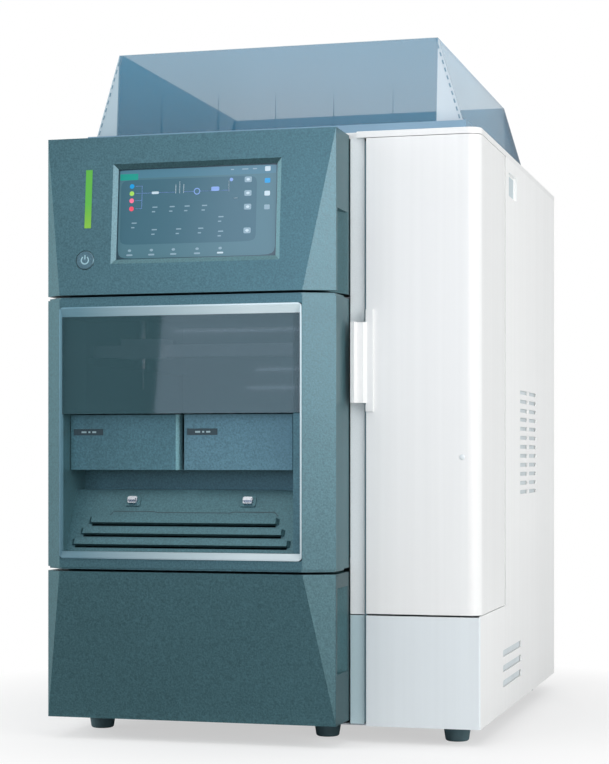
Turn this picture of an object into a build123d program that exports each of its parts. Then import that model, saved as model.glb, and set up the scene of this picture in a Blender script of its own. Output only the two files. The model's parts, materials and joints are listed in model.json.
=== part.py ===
from build123d import *
import math
import os

os.makedirs("parts", exist_ok=True)

# Bench liquid chromatograph. Millimetres, +Z up, front towards -Y, +X to the
# viewer's right. The origin lies on the bench, under the middle of the cabinet.

# ---- Overall sizes ----
cabinet_depth = 502.0
foot_height = 16.0
rear_reach = 8.0

# ---- Sheet metal and mouldings ----
sheet = 1.5
moulding_wall = 3.0
door_gap = 2.5
running_gap = 0.05
seat_gap = 0.3
cover_rim = 6.0
cover_corner_radius = 12.0

# ---- Dark front block, from the bottom upwards ----
block_width = 284.3
block_reach = 47.5
crown_reach = 12.5
left_facet = 16.6
right_facet = 28.9
front_setback = 5.5
plinth_gap = 5.0
lower_door_height = 140.0
door_to_fascia = 4.0
fascia_height = 253.5
upper_door_height = 150.5
cover_gap = 3.0
hinge_radius = 7.0
hinge_pin_radius = 3.0
hinge_pin_depth = 8.0
hinge_post = 15.0

# ---- Display, light and button, measured from the upper door's lower left ----
display_width = 156.0
display_height = 86.0
display_x = 150.0
display_rise = 76.5
display_bevel = 5.0
display_recess = 4.0
display_thickness = 9.0
display_housing_rim = 4.0
light_width = 6.5
light_height = 56.0
light_x = 43.2
light_rise = 91.5
light_depth = 2.0
button_radius = 9.0
button_x = 41.5
button_rise = 33.1
button_thickness = 5.0
button_boss = 4.0
button_flange = 1.2
button_stem_radius = 5.0

# ---- Finger grips in the doors' free edges ----
grip_depth = 10.0
grip_front_wall = 5.0
grip_floor = 6.0
grip_ramp = 34.0
upper_grip_height = 77.0
lower_grip_rise = 47.0
lower_grip_height = 80.0

# ---- Sampler recess, heights measured from its floor ----
bezel_top_margin = 7.5
bezel_bottom_margin = 8.4
bezel_proud = 2.0
bezel_side_band = 2.3
bezel_top_band = 9.0
bezel_bottom_band = 6.6
bezel_depth = 6.0
bezel_corner_radius = 4.0
recess_wall = 2.5
recess_right_step = 7.5
window_rise = 130.0
window_thickness = 3.0
drawer_setback = 22.0
drawer_gap = 3.5
drawer_rise = 77.0
drawer_front_thickness = 12.0
drawer_length = 255.0
drawer_wall = 2.0
drawer_side_clearance = 4.0
drawer_tray_height = 41.0
drawer_side_bevel = 5.0
label_width = 31.0
label_height = 6.5
label_depth = 1.0
label_margin = 2.0
label_rise = 36.0
vial_radius = 9.0
vial_pitch = 23.0
vial_rows = 3
rack_height = 22.0
rack_margin = 3.0
well_depth = 16.0
slope_rise = 58.0
slope_top_setback = 39.0
slope_bottom_setback = 10.0
finger_slot_depth = 22.0
louvre_count = 3
louvre_rise = 24.6
louvre_pitch = 10.2
louvre_margin = 8.3
louvre_width_step = 13.5
louvre_opening = 2.5
louvre_lip = 3.0
louvre_lip_height = 6.0
louvre_lip_end = 3.0
panel_wall = 2.2
latch_x = 79.0
latch_spacing = 115.0
latch_rise = 47.0
latch_stem_radius = 3.0
latch_pad_width = 15.0
latch_pad_height = 11.0
latch_pad_rise = 1.2
latch_width = 9.0
latch_height = 7.0
latch_plate = 2.5
latch_bar_width = 2.6

# ---- Trim, white front and column oven ----
trim_width = 11.4
trim_side_gap = 0.6
trim_gap = 5.2
trim_lip = 2.8
trim_lip_thickness = 1.8
trim_setback = 3.5
trim_depth = 10.0
trim_seam = 105.0
trim_seam_gap = 1.0
partition_setback = 4.5
oven_door_width = 108.5
oven_door_wrap = 146.0
oven_hinge_radius = 6.0
oven_pin_radius = 2.5
oven_pin_depth = 9.0
handle_rise = 191.0
handle_height = 96.0
handle_plate_width = 7.0
handle_plate_rise = 2.5
handle_reach = 14.0
handle_strip_reach = 12.0
handle_grip_drop = 8.0
handle_grip_height = 76.0
handle_lip = 4.5
handle_web = 2.5

# ---- Sampler bay ----
sampler_bay_depth = 300.0
guide_rise = 181.0
guide_depth = 6.0
guide_width = 6.0
beam_depth = 18.0
beam_height = 12.0
beam_groove = 4.0
beam_setback = 18.0
carriage_width = 42.0
carriage_rest = 34.0
carriage_cheek = 12.0
needle_holder_radius = 4.0
needle_radius = 0.8
needle_length = 20.0
needle_travel = 18.0
collar_height = 5.0
valve_radius = 22.0
valve_depth = 26.0
valve_cap_depth = 12.0
valve_rise = 146.0
valve_margin = 40.0
port_nut_radius = 2.6
port_nut_height = 5.0

# ---- Bays behind the doors ----
bay_depth = 60.0
tray_floor_length = 376.5
degasser_width = 110.0
degasser_depth = 40.0
degasser_height = 72.0
degasser_margin = 40.0
fitting_radius = 4.5
fitting_length = 7.0
mixer_x = 200.0
mixer_radius = 12.0
mixer_height = 86.0
mixer_cap = 6.0
mixer_rise = 25.0
pump_block_width = 196.0
pump_block_height = 68.0
pump_block_depth = 26.0
pump_margin = 44.0
pump_head_radius = 17.0
pump_head_depth = 27.0
pump_flange_depth = 7.0
pump_head_margin = 36.0
pump_head_spacing = 62.0
pump_head_height = 75.0
pump_valve_radius = 6.0
purge_knob_radius = 11.0
purge_knob_height = 14.0
purge_knob_margin = 32.0

# ---- Column oven, detector and electronics ----
liner_wall = 8.0
liner_setback = 16.0
column_radius = 5.0
column_length = 230.0
column_stand = 32.0
column_nut_height = 16.0
clip_wall = 2.5
clip_height = 14.0
clip_inset = 40.0
heater_margin = 8.0
heater_end_gap = 30.0
heater_thickness = 6.0
fin_pitch = 12.0
fin_thickness = 2.0
fin_height = 8.0
detector_gap = 21.0
detector_length = 235.0
detector_height = 150.0
detector_left_gap = 8.0
detector_right_gap = 20.0
lamp_width = 60.0
lamp_length = 90.0
lamp_height = 18.0
supply_width = 86.0
supply_length = 160.0
supply_height = 62.0
supply_rear_gap = 30.0
board_length = 225.0
board_height = 200.0
board_rise = 180.0
board_rear_gap = 60.0
board_stand = 8.0
board_thickness = 1.6
chip_height = 4.0

# ---- Side and rear openings ----
vent_rows = 12
vent_columns = 2
vent_pitch = 9.5
vent_slot_length = 52.0
vent_slot_height = 4.0
vent_column_pitch = 62.0
vent_from_rear = 203.5
vent_centre_z = 269.0
low_slot_length = 118.0
low_slot_height = 7.0
low_slot_pitch = 15.0
low_slot_y = 190.0
low_slot_z = 43.0
baffle_gap = 4.0
baffle_margin = 6.0
side_recess_width = 50.0
side_recess_height = 24.0
side_recess_y = 192.0
side_recess_drop = 31.0
fan_radius = 52.0
fan_x = 120.0
fan_drop = 160.0

# ---- Reservoir tray and its guard ----
guard_side_margin = 45.0
guard_front_margin = 26.0
guard_rear_margin = 88.0
guard_rise = 90.0
guard_side_lean = 26.0
guard_front_lean = 8.0
guard_rear_lean = 16.0
guard_thickness = 3.0
guard_rib_height = 46.0
guard_rib_pitch = 58.0
guard_rib_count = 5
guard_rib_thickness = 1.6
guard_rib_depth = 5.0
tray_thickness = 2.5
tray_rim = 9.0
tray_wall = 3.0
tray_platform_rise = 1.2
tray_platform_margin = 10.0

# ---- Feet ----
foot_radius = 13.5
foot_tip_radius = 11.0
foot_margin_left = 22.0
foot_margin_block = 30.3
foot_margin_right = 29.0
foot_margin_front = 40.0
foot_margin_rear = 47.0

# ---- Places that follow from the sizes ----
lower_door_bottom = plinth_gap
lower_door_top = lower_door_bottom + lower_door_height
fascia_bottom = lower_door_top + door_to_fascia
fascia_top = fascia_bottom + fascia_height
upper_door_bottom = fascia_top + door_to_fascia
upper_door_top = upper_door_bottom + upper_door_height
cabinet_height = upper_door_top + cover_gap
oven_door_left = block_width + trim_side_gap + trim_width + trim_gap
cabinet_width = oven_door_left + oven_door_width
guard_top_width = cabinet_width - 2 * guard_side_margin
guard_top_depth = cabinet_depth - guard_front_margin - guard_rear_margin
left = -cabinet_width / 2
right = cabinet_width / 2
front = -(cabinet_depth + rear_reach - block_reach - crown_reach - bezel_proud) / 2
rear = front + cabinet_depth
base = foot_height
top = base + cabinet_height
frame_front = front + front_setback
block_right = left + block_width
block_front = front - block_reach
crown_front = block_front - crown_reach
bezel_front = crown_front - bezel_proud
door_back = frame_front - door_gap
partition_left = left + oven_door_left - partition_setback
partition_right = partition_left + sheet
hinge_x = left + hinge_radius
hinge_y = door_back - hinge_radius
oven_hinge_x = right - oven_hinge_radius
oven_hinge_y = front + oven_door_wrap - oven_hinge_radius
oven_bottom = base + trim_seam
cover_bottom = top - cover_rim
bezel_bottom = fascia_bottom + bezel_bottom_margin
bezel_top = fascia_top - bezel_top_margin
recess_left = left + left_facet + bezel_side_band
recess_right = block_right - right_facet - bezel_side_band
recess_floor = base + bezel_bottom + bezel_bottom_band
panel_x = (recess_left, recess_right - recess_right_step)
bay_back = frame_front + bay_depth
trim_flange_back = front + trim_setback + trim_depth + sheet


def block(x, y, z, mode=Mode.ADD):
    """Rectangular block between a low and a high limit on each axis."""
    middle = ((x[0] + x[1]) / 2, (y[0] + y[1]) / 2, (z[0] + z[1]) / 2)
    with Locations(middle):
        Box(x[1] - x[0], y[1] - y[0], z[1] - z[0], mode=mode)


def rod(radius, start, end, mode=Mode.ADD):
    """Round bar from one point to another."""
    axis = Vector(*end) - Vector(*start)
    with BuildSketch(Plane(origin=start, z_dir=axis)) as disc:
        Circle(radius)
    extrude(disc.sketch, amount=axis.length, mode=mode)


def rounded_slots(plane, length, height, places):
    """Round-ended slots through a thin panel, centred on places in its plane."""
    with BuildSketch(plane) as slots:
        with Locations(*places):
            SlotOverall(length, height)
    extrude(slots.sketch, amount=sheet * 2, both=True, mode=Mode.SUBTRACT)


def grid(columns, column_pitch, rows, row_pitch, centre):
    """Centres of a rectangular pattern about a centre."""
    return [
        (
            centre[0] + (column - (columns - 1) / 2) * column_pitch,
            centre[1] + (row - (rows - 1) / 2) * row_pitch,
        )
        for row in range(rows)
        for column in range(columns)
    ]


def finish(piece, label):
    """Name a finished piece and write its file."""
    piece.part.label = label
    export_step(piece.part, f"parts/{label}.step")


# ---- Faceted front block ----
# In plan the block is a shallow crown: two upright facets at its sides and a
# flat crown between them. On a door the crown leans back until it meets the
# outer edges, so the facets narrow to a point.

lean_rise = upper_door_top - upper_door_bottom
lean_angle = math.degrees(math.atan2(crown_reach, lean_rise))
lower_lean_angle = math.degrees(math.atan2(crown_reach, lower_door_top - lower_door_bottom))
upper_lean = Plane(
    origin=(0, crown_front, base + upper_door_bottom),
    x_dir=(1, 0, 0),
    z_dir=(0, -math.cos(math.radians(lean_angle)), math.sin(math.radians(lean_angle))),
)
lower_lean = Plane(
    origin=(0, crown_front, base + lower_door_top),
    x_dir=(1, 0, 0),
    z_dir=(
        0,
        -math.cos(math.radians(lower_lean_angle)),
        -math.sin(math.radians(lower_lean_angle)),
    ),
)


def crown_block(low, high, inset, lean=None):
    """Crowned block between two heights, drawn in by inset on every side."""
    with BuildPart() as crowned:
        with BuildSketch(Plane.XY.offset(base + low + inset)) as plan:
            with BuildLine():
                Polyline(
                    (left, door_back),
                    (left, block_front),
                    (left + left_facet, crown_front),
                    (block_right - right_facet, crown_front),
                    (block_right, block_front),
                    (block_right, door_back),
                    close=True,
                )
            make_face()
            if inset > 0:
                offset(amount=-inset, kind=Kind.INTERSECTION)
        extrude(amount=high - low - 2 * inset)
        if lean is not None:
            split(bisect_by=lean.offset(-inset), keep=Keep.BOTTOM)
    return crowned.part


def crown_shell(low, high, lean=None):
    """Hollow crowned moulding, open at the back, with a solid hinge post."""
    wall = moulding_wall
    add(crown_block(low, high, 0, lean))
    add(crown_block(low, high, wall, lean), mode=Mode.SUBTRACT)
    mouth_x = (left + wall, block_right - wall)
    mouth_z = (base + low + wall, base + high - wall)
    block(mouth_x, (door_back - wall - 1, door_back + 1), mouth_z, Mode.SUBTRACT)
    block((left, left + hinge_post), (door_back - hinge_post, door_back), mouth_z)


def grip_pocket(low, high, door_low):
    """Finger pocket in the free edge: a flat floor, then a ramp back to the side."""
    wall = moulding_wall
    front_limit = block_front + grip_front_wall
    back_x = (block_right - grip_depth - wall, block_right - wall)
    backing_low = base + max(low - wall, door_low)
    block(back_x, (front_limit - wall, door_back), (backing_low, base + high + wall))
    with BuildSketch(Plane.XY.offset(base + low)) as pocket:
        with BuildLine():
            Polyline(
                (block_right + 1, front_limit),
                (block_right - grip_depth, front_limit),
                (block_right - grip_depth, front_limit + grip_floor),
                (block_right, front_limit + grip_floor + grip_ramp),
                (block_right + 1, front_limit + grip_floor + grip_ramp),
                close=True,
            )
        make_face()
    extrude(pocket.sketch, amount=high - low, mode=Mode.SUBTRACT)


def hinge_bore(z, direction):
    """Pin bore in the hinge post, from height z upwards or downwards."""
    end = z + direction * (hinge_pin_depth + 1)
    rod(
        hinge_pin_radius + running_gap,
        (hinge_x, hinge_y, z - direction),
        (hinge_x, hinge_y, end),
        Mode.SUBTRACT,
    )


# ---- Upper door ----
display_on_lean = (
    left + display_x,
    display_rise / math.cos(math.radians(lean_angle)),
)
opening_width = display_width + 2 * seat_gap
opening_height = display_height + 2 * seat_gap
light_on_lean = (
    left + light_x,
    light_rise / math.cos(math.radians(lean_angle)),
)
button_on_lean = (
    left + button_x,
    button_rise / math.cos(math.radians(lean_angle)),
)
button_hole_radius = button_radius + seat_gap

with BuildPart() as upper_door:
    crown_shell(upper_door_bottom, upper_door_top, upper_lean)
    grip_pocket(upper_door_bottom - 1, upper_door_bottom + upper_grip_height, upper_door_bottom)
    with BuildSketch(upper_lean.offset(-moulding_wall)) as boss:
        with Locations(button_on_lean):
            Circle(button_hole_radius + 2)
    extrude(amount=-button_boss)
    with BuildSketch(upper_lean.offset(1)) as openings:
        with Locations(display_on_lean):
            Rectangle(opening_width, opening_height)
        with Locations(button_on_lean):
            Circle(button_hole_radius)
    extrude(amount=-(1 + moulding_wall + button_boss + 1), mode=Mode.SUBTRACT)
    with BuildSketch(upper_lean) as light_slot:
        with Locations(light_on_lean):
            Rectangle(light_width, light_height)
    extrude(amount=-light_depth, mode=Mode.SUBTRACT)
    with BuildSketch(upper_lean.offset(seat_gap)) as bevel_front:
        with Locations(display_on_lean):
            Rectangle(opening_width + 2 * display_bevel, opening_height + 2 * display_bevel)
    with BuildSketch(upper_lean.offset(seat_gap - moulding_wall)) as bevel_back:
        with Locations(display_on_lean):
            Rectangle(opening_width, opening_height)
    loft(mode=Mode.SUBTRACT)
    hinge_edge = upper_door.edges().filter_by(Axis.Z).sort_by_distance(
        (left, door_back, base + upper_door_bottom + lean_rise / 2)
    )[0]
    fillet(hinge_edge, hinge_radius - seat_gap / 10)
    hinge_bore(base + upper_door_bottom, 1)
    hinge_bore(base + upper_door_top, -1)
finish(upper_door, "upper_door")

with BuildPart() as touch_display:
    glass_front = -display_recess
    with BuildSketch(upper_lean.offset(glass_front)) as glass:
        with Locations(display_on_lean):
            RectangleRounded(display_width, display_height, 2)
    extrude(amount=-display_thickness)
    with BuildSketch(upper_lean.offset(-moulding_wall)) as housing:
        with Locations(display_on_lean):
            Rectangle(opening_width + 2 * display_housing_rim, opening_height + 2 * display_housing_rim)
            Rectangle(display_width, display_height, mode=Mode.SUBTRACT)
    extrude(amount=-(display_thickness + display_recess - moulding_wall))
    electronics_depth = 10.0
    with BuildSketch(upper_lean.offset(-display_recess - display_thickness)) as electronics:
        with Locations(display_on_lean):
            Rectangle(display_width - 20, display_height - 16)
    extrude(amount=-electronics_depth)
finish(touch_display, "touch_display")

with BuildPart() as status_light:
    with BuildSketch(upper_lean.offset(-light_depth)) as light_plan:
        with Locations(light_on_lean):
            Rectangle(light_width, light_height)
    extrude(amount=light_depth + 0.4)
    fillet(status_light.faces().sort_by(Axis.Y)[0].edges(), 0.3)
finish(status_light, "status_light")

with BuildPart() as power_button:
    with BuildSketch(upper_lean.offset(-button_thickness)) as button_plan:
        with Locations(button_on_lean):
            Circle(button_radius)
    extrude(amount=button_thickness + 0.5)
    front_face = power_button.faces().sort_by(Axis.Y)[0]
    chamfer(front_face.edges(), 0.8)
    with BuildSketch(upper_lean.offset(-moulding_wall - button_boss - seat_gap)) as flange:
        with Locations(button_on_lean):
            Circle(button_hole_radius + button_flange)
    extrude(amount=-button_flange)
    with BuildSketch(upper_lean.offset(-moulding_wall - button_boss - 1)) as stem:
        with Locations(button_on_lean):
            Circle(button_stem_radius)
    extrude(amount=button_boss)
finish(power_button, "power_button")

# ---- Lower door ----
with BuildPart() as lower_door:
    crown_shell(lower_door_bottom, lower_door_top, lower_lean)
    lower_grip_bottom = lower_door_bottom + lower_grip_rise
    grip_pocket(lower_grip_bottom, lower_grip_bottom + lower_grip_height, lower_door_bottom)
    lower_edge = lower_door.edges().filter_by(Axis.Z).sort_by_distance(
        (left, door_back, base + (lower_door_bottom + lower_door_top) / 2)
    )[0]
    fillet(lower_edge, hinge_radius - seat_gap / 10)
    hinge_bore(base + lower_door_bottom, 1)
    hinge_bore(base + lower_door_top, -1)
finish(lower_door, "lower_door")

# ---- Sampler fascia: fixed middle moulding with the recess ----
recess_back = door_back
opening_x = (left + left_facet + 0.5, block_right - right_facet - 0.5)
opening_z = (base + bezel_bottom, base + bezel_top)
inner_x = (recess_left, recess_right)
inner_z = (recess_floor, base + bezel_top - bezel_top_band)

with BuildPart() as sampler_fascia:
    add(crown_block(fascia_bottom, fascia_top, 0))
    add(crown_block(fascia_bottom, fascia_top, moulding_wall), mode=Mode.SUBTRACT)
    block(
        (left + moulding_wall, block_right - moulding_wall),
        (door_back - moulding_wall - 1, door_back + 1),
        (base + fascia_bottom + moulding_wall, base + fascia_top - moulding_wall),
        Mode.SUBTRACT,
    )
    block(
        (opening_x[0] - recess_wall, opening_x[1] + recess_wall),
        (crown_front + moulding_wall, crown_front + bezel_depth + recess_wall),
        (opening_z[0] - recess_wall, opening_z[1] + recess_wall),
    )
    block(
        (inner_x[0] - recess_wall, inner_x[1] + recess_wall),
        (crown_front + bezel_depth, recess_back),
        (inner_z[0] - recess_wall, inner_z[1] + recess_wall),
    )
    block(
        (inner_x[0], inner_x[1] - recess_right_step),
        (crown_front, recess_back + 1),
        inner_z,
        Mode.SUBTRACT,
    )
    block(opening_x, (crown_front - 1, crown_front + bezel_depth - bezel_proud), opening_z, Mode.SUBTRACT)
    for tip, start in (
        (base + upper_door_bottom + hinge_pin_depth, base + fascia_top - 1),
        (base + lower_door_top - hinge_pin_depth, base + fascia_bottom + 1),
    ):
        rod(hinge_pin_radius, (hinge_x, hinge_y, start), (hinge_x, hinge_y, tip))
finish(sampler_fascia, "sampler_fascia")

with BuildPart() as sampler_bezel:
    bezel_centre = ((opening_x[0] + opening_x[1]) / 2, (opening_z[0] + opening_z[1]) / 2)
    front_plane = Plane(origin=(0, bezel_front, 0), x_dir=(1, 0, 0), z_dir=(0, -1, 0))
    with BuildSketch(front_plane) as frame_plan:
        with Locations(bezel_centre):
            RectangleRounded(
                opening_x[1] - opening_x[0],
                opening_z[1] - opening_z[0],
                bezel_corner_radius,
            )
        with Locations(((inner_x[0] + inner_x[1]) / 2, (inner_z[0] + inner_z[1]) / 2)):
            Rectangle(inner_x[1] - inner_x[0], inner_z[1] - inner_z[0], mode=Mode.SUBTRACT)
    extrude(amount=-bezel_depth)
    edge_land = 1.2
    with BuildSketch(front_plane) as mouth:
        with Locations(bezel_centre):
            Rectangle(
                opening_x[1] - opening_x[0] - 2 * edge_land,
                opening_z[1] - opening_z[0] - 2 * edge_land,
            )
    with BuildSketch(front_plane.offset(-bezel_depth / 2)) as throat:
        with Locations(((inner_x[0] + inner_x[1]) / 2, (inner_z[0] + inner_z[1]) / 2)):
            Rectangle(inner_x[1] - inner_x[0], inner_z[1] - inner_z[0])
    loft(mode=Mode.SUBTRACT)
finish(sampler_bezel, "sampler_bezel")

with BuildPart() as sampler_window:
    block(
        inner_x,
        (bezel_front + bezel_depth / 2, bezel_front + bezel_depth / 2 + window_thickness),
        (recess_floor + window_rise, inner_z[1]),
    )
finish(sampler_window, "sampler_window")

# ---- Sloping louvre panel under the drawers ----
bed_top = recess_floor + drawer_rise + drawer_wall - seat_gap
bed_bottom = bed_top - sheet
slope_top_y = crown_front + slope_top_setback
slope_foot_y = crown_front + slope_bottom_setback
slope_top_z = recess_floor + slope_rise
slope_run = slope_top_y - slope_foot_y
slot_back = slope_top_y + finger_slot_depth
slope_length = math.hypot(slope_run, slope_rise)

def on_slope(x, z):
    """Plane on the sloping panel, centred at a place and facing outwards."""
    share = (slope_top_z - z) / slope_rise
    return Plane(
        origin=(x, slope_top_y - share * slope_run, z),
        x_dir=(1, 0, 0),
        z_dir=(0, -slope_rise / slope_length, slope_run / slope_length),
    )


with BuildPart() as louvre_panel:
    with BuildSketch(Plane.YZ.offset(panel_x[0])) as panel_side:
        with BuildLine():
            Polyline(
                (slot_back, bed_bottom),
                (slot_back, slope_top_z),
                (slope_top_y, slope_top_z),
                (slope_foot_y, recess_floor),
                (slope_foot_y + panel_wall, recess_floor),
                (slope_top_y + panel_wall, slope_top_z - panel_wall),
                (slot_back + panel_wall, slope_top_z - panel_wall),
                (slot_back + panel_wall, bed_bottom),
                close=True,
            )
        make_face()
    extrude(amount=panel_x[1] - panel_x[0])
    down_slope = Vector(0, -slope_run, -slope_rise)
    for row in range(louvre_count):
        slot_plane = on_slope(sum(panel_x) / 2, recess_floor + louvre_rise - row * louvre_pitch)
        side_margin = louvre_margin + (louvre_count - 1 - row) * louvre_width_step / 2
        slot_width = panel_x[1] - panel_x[0] - 2 * side_margin
        lip_origin = slot_plane.from_local_coords((0, louvre_opening / 2 + louvre_lip_height, 0))
        lip_plane = Plane(origin=lip_origin, x_dir=(1, 0, 0), z_dir=down_slope)
        with BuildSketch(lip_plane) as lip:
            with BuildLine():
                Polyline(
                    (-slot_width / 2 - louvre_lip_end, -panel_wall / 2),
                    (-slot_width / 2 - louvre_lip_end, 0),
                    (-slot_width / 2, louvre_lip),
                    (slot_width / 2, louvre_lip),
                    (slot_width / 2 + louvre_lip_end, 0),
                    (slot_width / 2 + louvre_lip_end, -panel_wall / 2),
                    close=True,
                )
            make_face()
        extrude(amount=louvre_lip_height)
        with BuildSketch(slot_plane.offset(-1.5 * panel_wall)) as slot:
            Rectangle(slot_width, louvre_opening)
        extrude(amount=3 * panel_wall, mode=Mode.SUBTRACT)
    for number in range(2):
        pad_plane = on_slope(left + latch_x + number * latch_spacing, recess_floor + latch_rise)
        with BuildSketch(pad_plane) as pad:
            RectangleRounded(latch_pad_width, latch_pad_height, 1.5)
        extrude(amount=latch_pad_rise)
        with BuildSketch(pad_plane.offset(-2 * panel_wall)) as latch_bore:
            Circle(latch_stem_radius + running_gap)
        extrude(amount=4 * panel_wall, mode=Mode.SUBTRACT)
finish(louvre_panel, "louvre_panel")

for number, label in enumerate(("left_latch", "right_latch")):
    latch_plane = on_slope(left + latch_x + number * latch_spacing, recess_floor + latch_rise)
    with BuildPart() as latch:
        with BuildSketch(latch_plane.offset(-panel_wall - 1)) as stem:
            Circle(latch_stem_radius)
        extrude(amount=panel_wall + 1 + latch_pad_rise + seat_gap)
        with BuildSketch(latch_plane.offset(latch_pad_rise + seat_gap)) as wing:
            RectangleRounded(latch_width, latch_height, latch_height / 5)
        extrude(amount=latch_plate)
        with BuildSketch(latch_plane.offset(latch_pad_rise + seat_gap + latch_plate)) as bar:
            Rectangle(latch_width - 1, latch_bar_width)
        extrude(amount=latch_plate)
    finish(latch, label)

# ---- Sample drawers ----
drawer_front = crown_front + drawer_setback
drawer_low = recess_floor + drawer_rise
drawer_high = recess_floor + window_rise - 2 * seat_gap
drawer_width = (panel_x[1] - panel_x[0] - 4 * seat_gap - drawer_gap) / 2
drawer_pitch = drawer_width + drawer_gap
first_drawer = recess_left + 2 * seat_gap
rack_length = vial_rows * vial_pitch + 2 * rack_margin
tray_low = drawer_low + drawer_wall

for number, side in enumerate(("left", "right")):
    low_x = first_drawer + number * drawer_pitch
    high_x = low_x + drawer_width
    tray_x = (low_x + drawer_side_clearance, high_x - drawer_side_clearance)
    tray_y = (drawer_front + drawer_front_thickness, drawer_front + drawer_length)
    hollow_x = (tray_x[0] + drawer_wall, tray_x[1] - drawer_wall)
    hollow_y = (tray_y[0] + drawer_wall, tray_y[1] - drawer_wall)
    with BuildPart() as drawer:
        block((low_x, high_x), (drawer_front, tray_y[0]), (drawer_low, drawer_high))
        side_edge = drawer.edges().filter_by(Axis.Z).sort_by(Axis.Y)[:2].sort_by(Axis.X)[-1]
        chamfer(side_edge, drawer_side_bevel)
        block(tray_x, tray_y, (tray_low, tray_low + drawer_tray_height))
        block(hollow_x, hollow_y, (tray_low + drawer_wall, drawer_high), Mode.SUBTRACT)
        label_x = low_x + label_margin
        label_z = drawer_low + label_rise
        block(
            (label_x, label_x + label_width),
            (drawer_front - 1, drawer_front + label_depth),
            (label_z - label_height / 2, label_z + label_height / 2),
            Mode.SUBTRACT,
        )
    finish(drawer, f"{side}_drawer")
    with BuildPart() as rack:
        rack_y = (hollow_y[0] + seat_gap, hollow_y[0] + seat_gap + rack_length)
        rack_floor = tray_low + drawer_wall
        block(
            (hollow_x[0] + seat_gap, hollow_x[1] - seat_gap),
            rack_y,
            (rack_floor, rack_floor + rack_height),
        )
        vial_columns = int((hollow_x[1] - hollow_x[0] - 2 * rack_margin) // vial_pitch)
        rack_centre = ((hollow_x[0] + hollow_x[1]) / 2, (rack_y[0] + rack_y[1]) / 2)
        with BuildSketch(Plane.XY.offset(rack_floor + rack_height)) as wells:
            with Locations(*grid(vial_columns, vial_pitch, vial_rows, vial_pitch, rack_centre)):
                Circle(vial_radius)
        extrude(amount=-well_depth, mode=Mode.SUBTRACT)
    finish(rack, f"{side}_rack")

# ---- Sampler bay: shelf, tub, drawer bed ----
shelf_top = base + fascia_bottom + sheet
tub_back = front + sampler_bay_depth
tub_top = base + fascia_top - 2.5
guide_z = recess_floor + guide_rise

with BuildPart() as sampler_shelf:
    with BuildSketch(Plane.YZ.offset(left + 2 * sheet)) as shelf_side:
        with BuildLine():
            Polyline(
                (frame_front, shelf_top - sheet),
                (frame_front, shelf_top),
                (tub_back, shelf_top),
                (tub_back, shelf_top - sheet),
                (bay_back + sheet, shelf_top - sheet),
                (bay_back + sheet, base + sheet),
                (bay_back, base + sheet),
                (bay_back, shelf_top - sheet),
                close=True,
            )
        make_face()
    extrude(amount=partition_left - left - 2 * sheet)
    block(
        (block_right, partition_left + 1),
        (frame_front - 1, trim_flange_back),
        (base, top),
        Mode.SUBTRACT,
    )
finish(sampler_shelf, "sampler_shelf")

with BuildPart() as sampler_tub:
    tub_outer = (panel_x[0] - sheet, panel_x[1] + sheet)
    block(tub_outer, (recess_back, tub_back), (shelf_top, tub_top))
    block(panel_x, (recess_back - 1, tub_back - sheet), (shelf_top - 1, tub_top - sheet), Mode.SUBTRACT)
    guide_y = (recess_back + 4, tub_back - sheet)
    guide_zs = (guide_z, guide_z + guide_depth)
    block((panel_x[0], panel_x[0] + guide_width), guide_y, guide_zs)
    block((panel_x[1] - guide_width, panel_x[1]), guide_y, guide_zs)
finish(sampler_tub, "sampler_tub")

with BuildPart() as drawer_bed:
    bed_y = (drawer_front + drawer_front_thickness + seat_gap, drawer_front + drawer_length + 6)
    block(panel_x, bed_y, (bed_bottom, bed_top))
    rib_top = bed_top + 14
    first_side = first_drawer + drawer_side_clearance - seat_gap
    last_side = first_drawer + drawer_pitch + drawer_width - drawer_side_clearance + seat_gap
    middle_low = first_drawer + drawer_width - drawer_side_clearance + seat_gap
    middle_high = first_drawer + drawer_pitch + drawer_side_clearance - seat_gap
    for rib_x in ((panel_x[0], first_side), (middle_low, middle_high), (last_side, panel_x[1])):
        block(rib_x, bed_y, (bed_top, rib_top))
finish(drawer_bed, "drawer_bed")

# ---- Needle drive: gantry along Y, carriage along X, needle up and down ----
gantry_y = recess_back + beam_setback
beam_low = guide_z + guide_depth + seat_gap
beam_high = beam_low + beam_height
beam_x = (panel_x[0] + seat_gap, panel_x[1] - seat_gap)
carriage_x = panel_x[0] + carriage_rest
needle_x = carriage_x + carriage_width / 2
needle_y = gantry_y - seat_gap - carriage_cheek / 2

with BuildPart() as needle_gantry:
    block(beam_x, (gantry_y, gantry_y + beam_depth), (beam_low, beam_high))
    groove_z = (beam_low + beam_groove, beam_high - beam_groove)
    block(
        (beam_x[0] + beam_height, beam_x[1] - beam_height),
        (gantry_y + beam_depth - beam_groove, gantry_y + beam_depth + 1),
        groove_z,
        Mode.SUBTRACT,
    )
finish(needle_gantry, "needle_gantry")

with BuildPart() as needle_carriage:
    saddle_y = (gantry_y - seat_gap - carriage_cheek, gantry_y + beam_depth + seat_gap + 3)
    saddle_z = (beam_low - 2, beam_high + seat_gap + 5)
    block((carriage_x, carriage_x + carriage_width), saddle_y, saddle_z)
    block(
        (carriage_x - 1, carriage_x + carriage_width + 1),
        (gantry_y - seat_gap, gantry_y + beam_depth + seat_gap),
        (beam_low - 3, beam_high + seat_gap),
        Mode.SUBTRACT,
    )
    rod(
        needle_holder_radius + running_gap,
        (needle_x, needle_y, saddle_z[0] - 1),
        (needle_x, needle_y, saddle_z[1] + 1),
        Mode.SUBTRACT,
    )
finish(needle_carriage, "needle_carriage")

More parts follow.
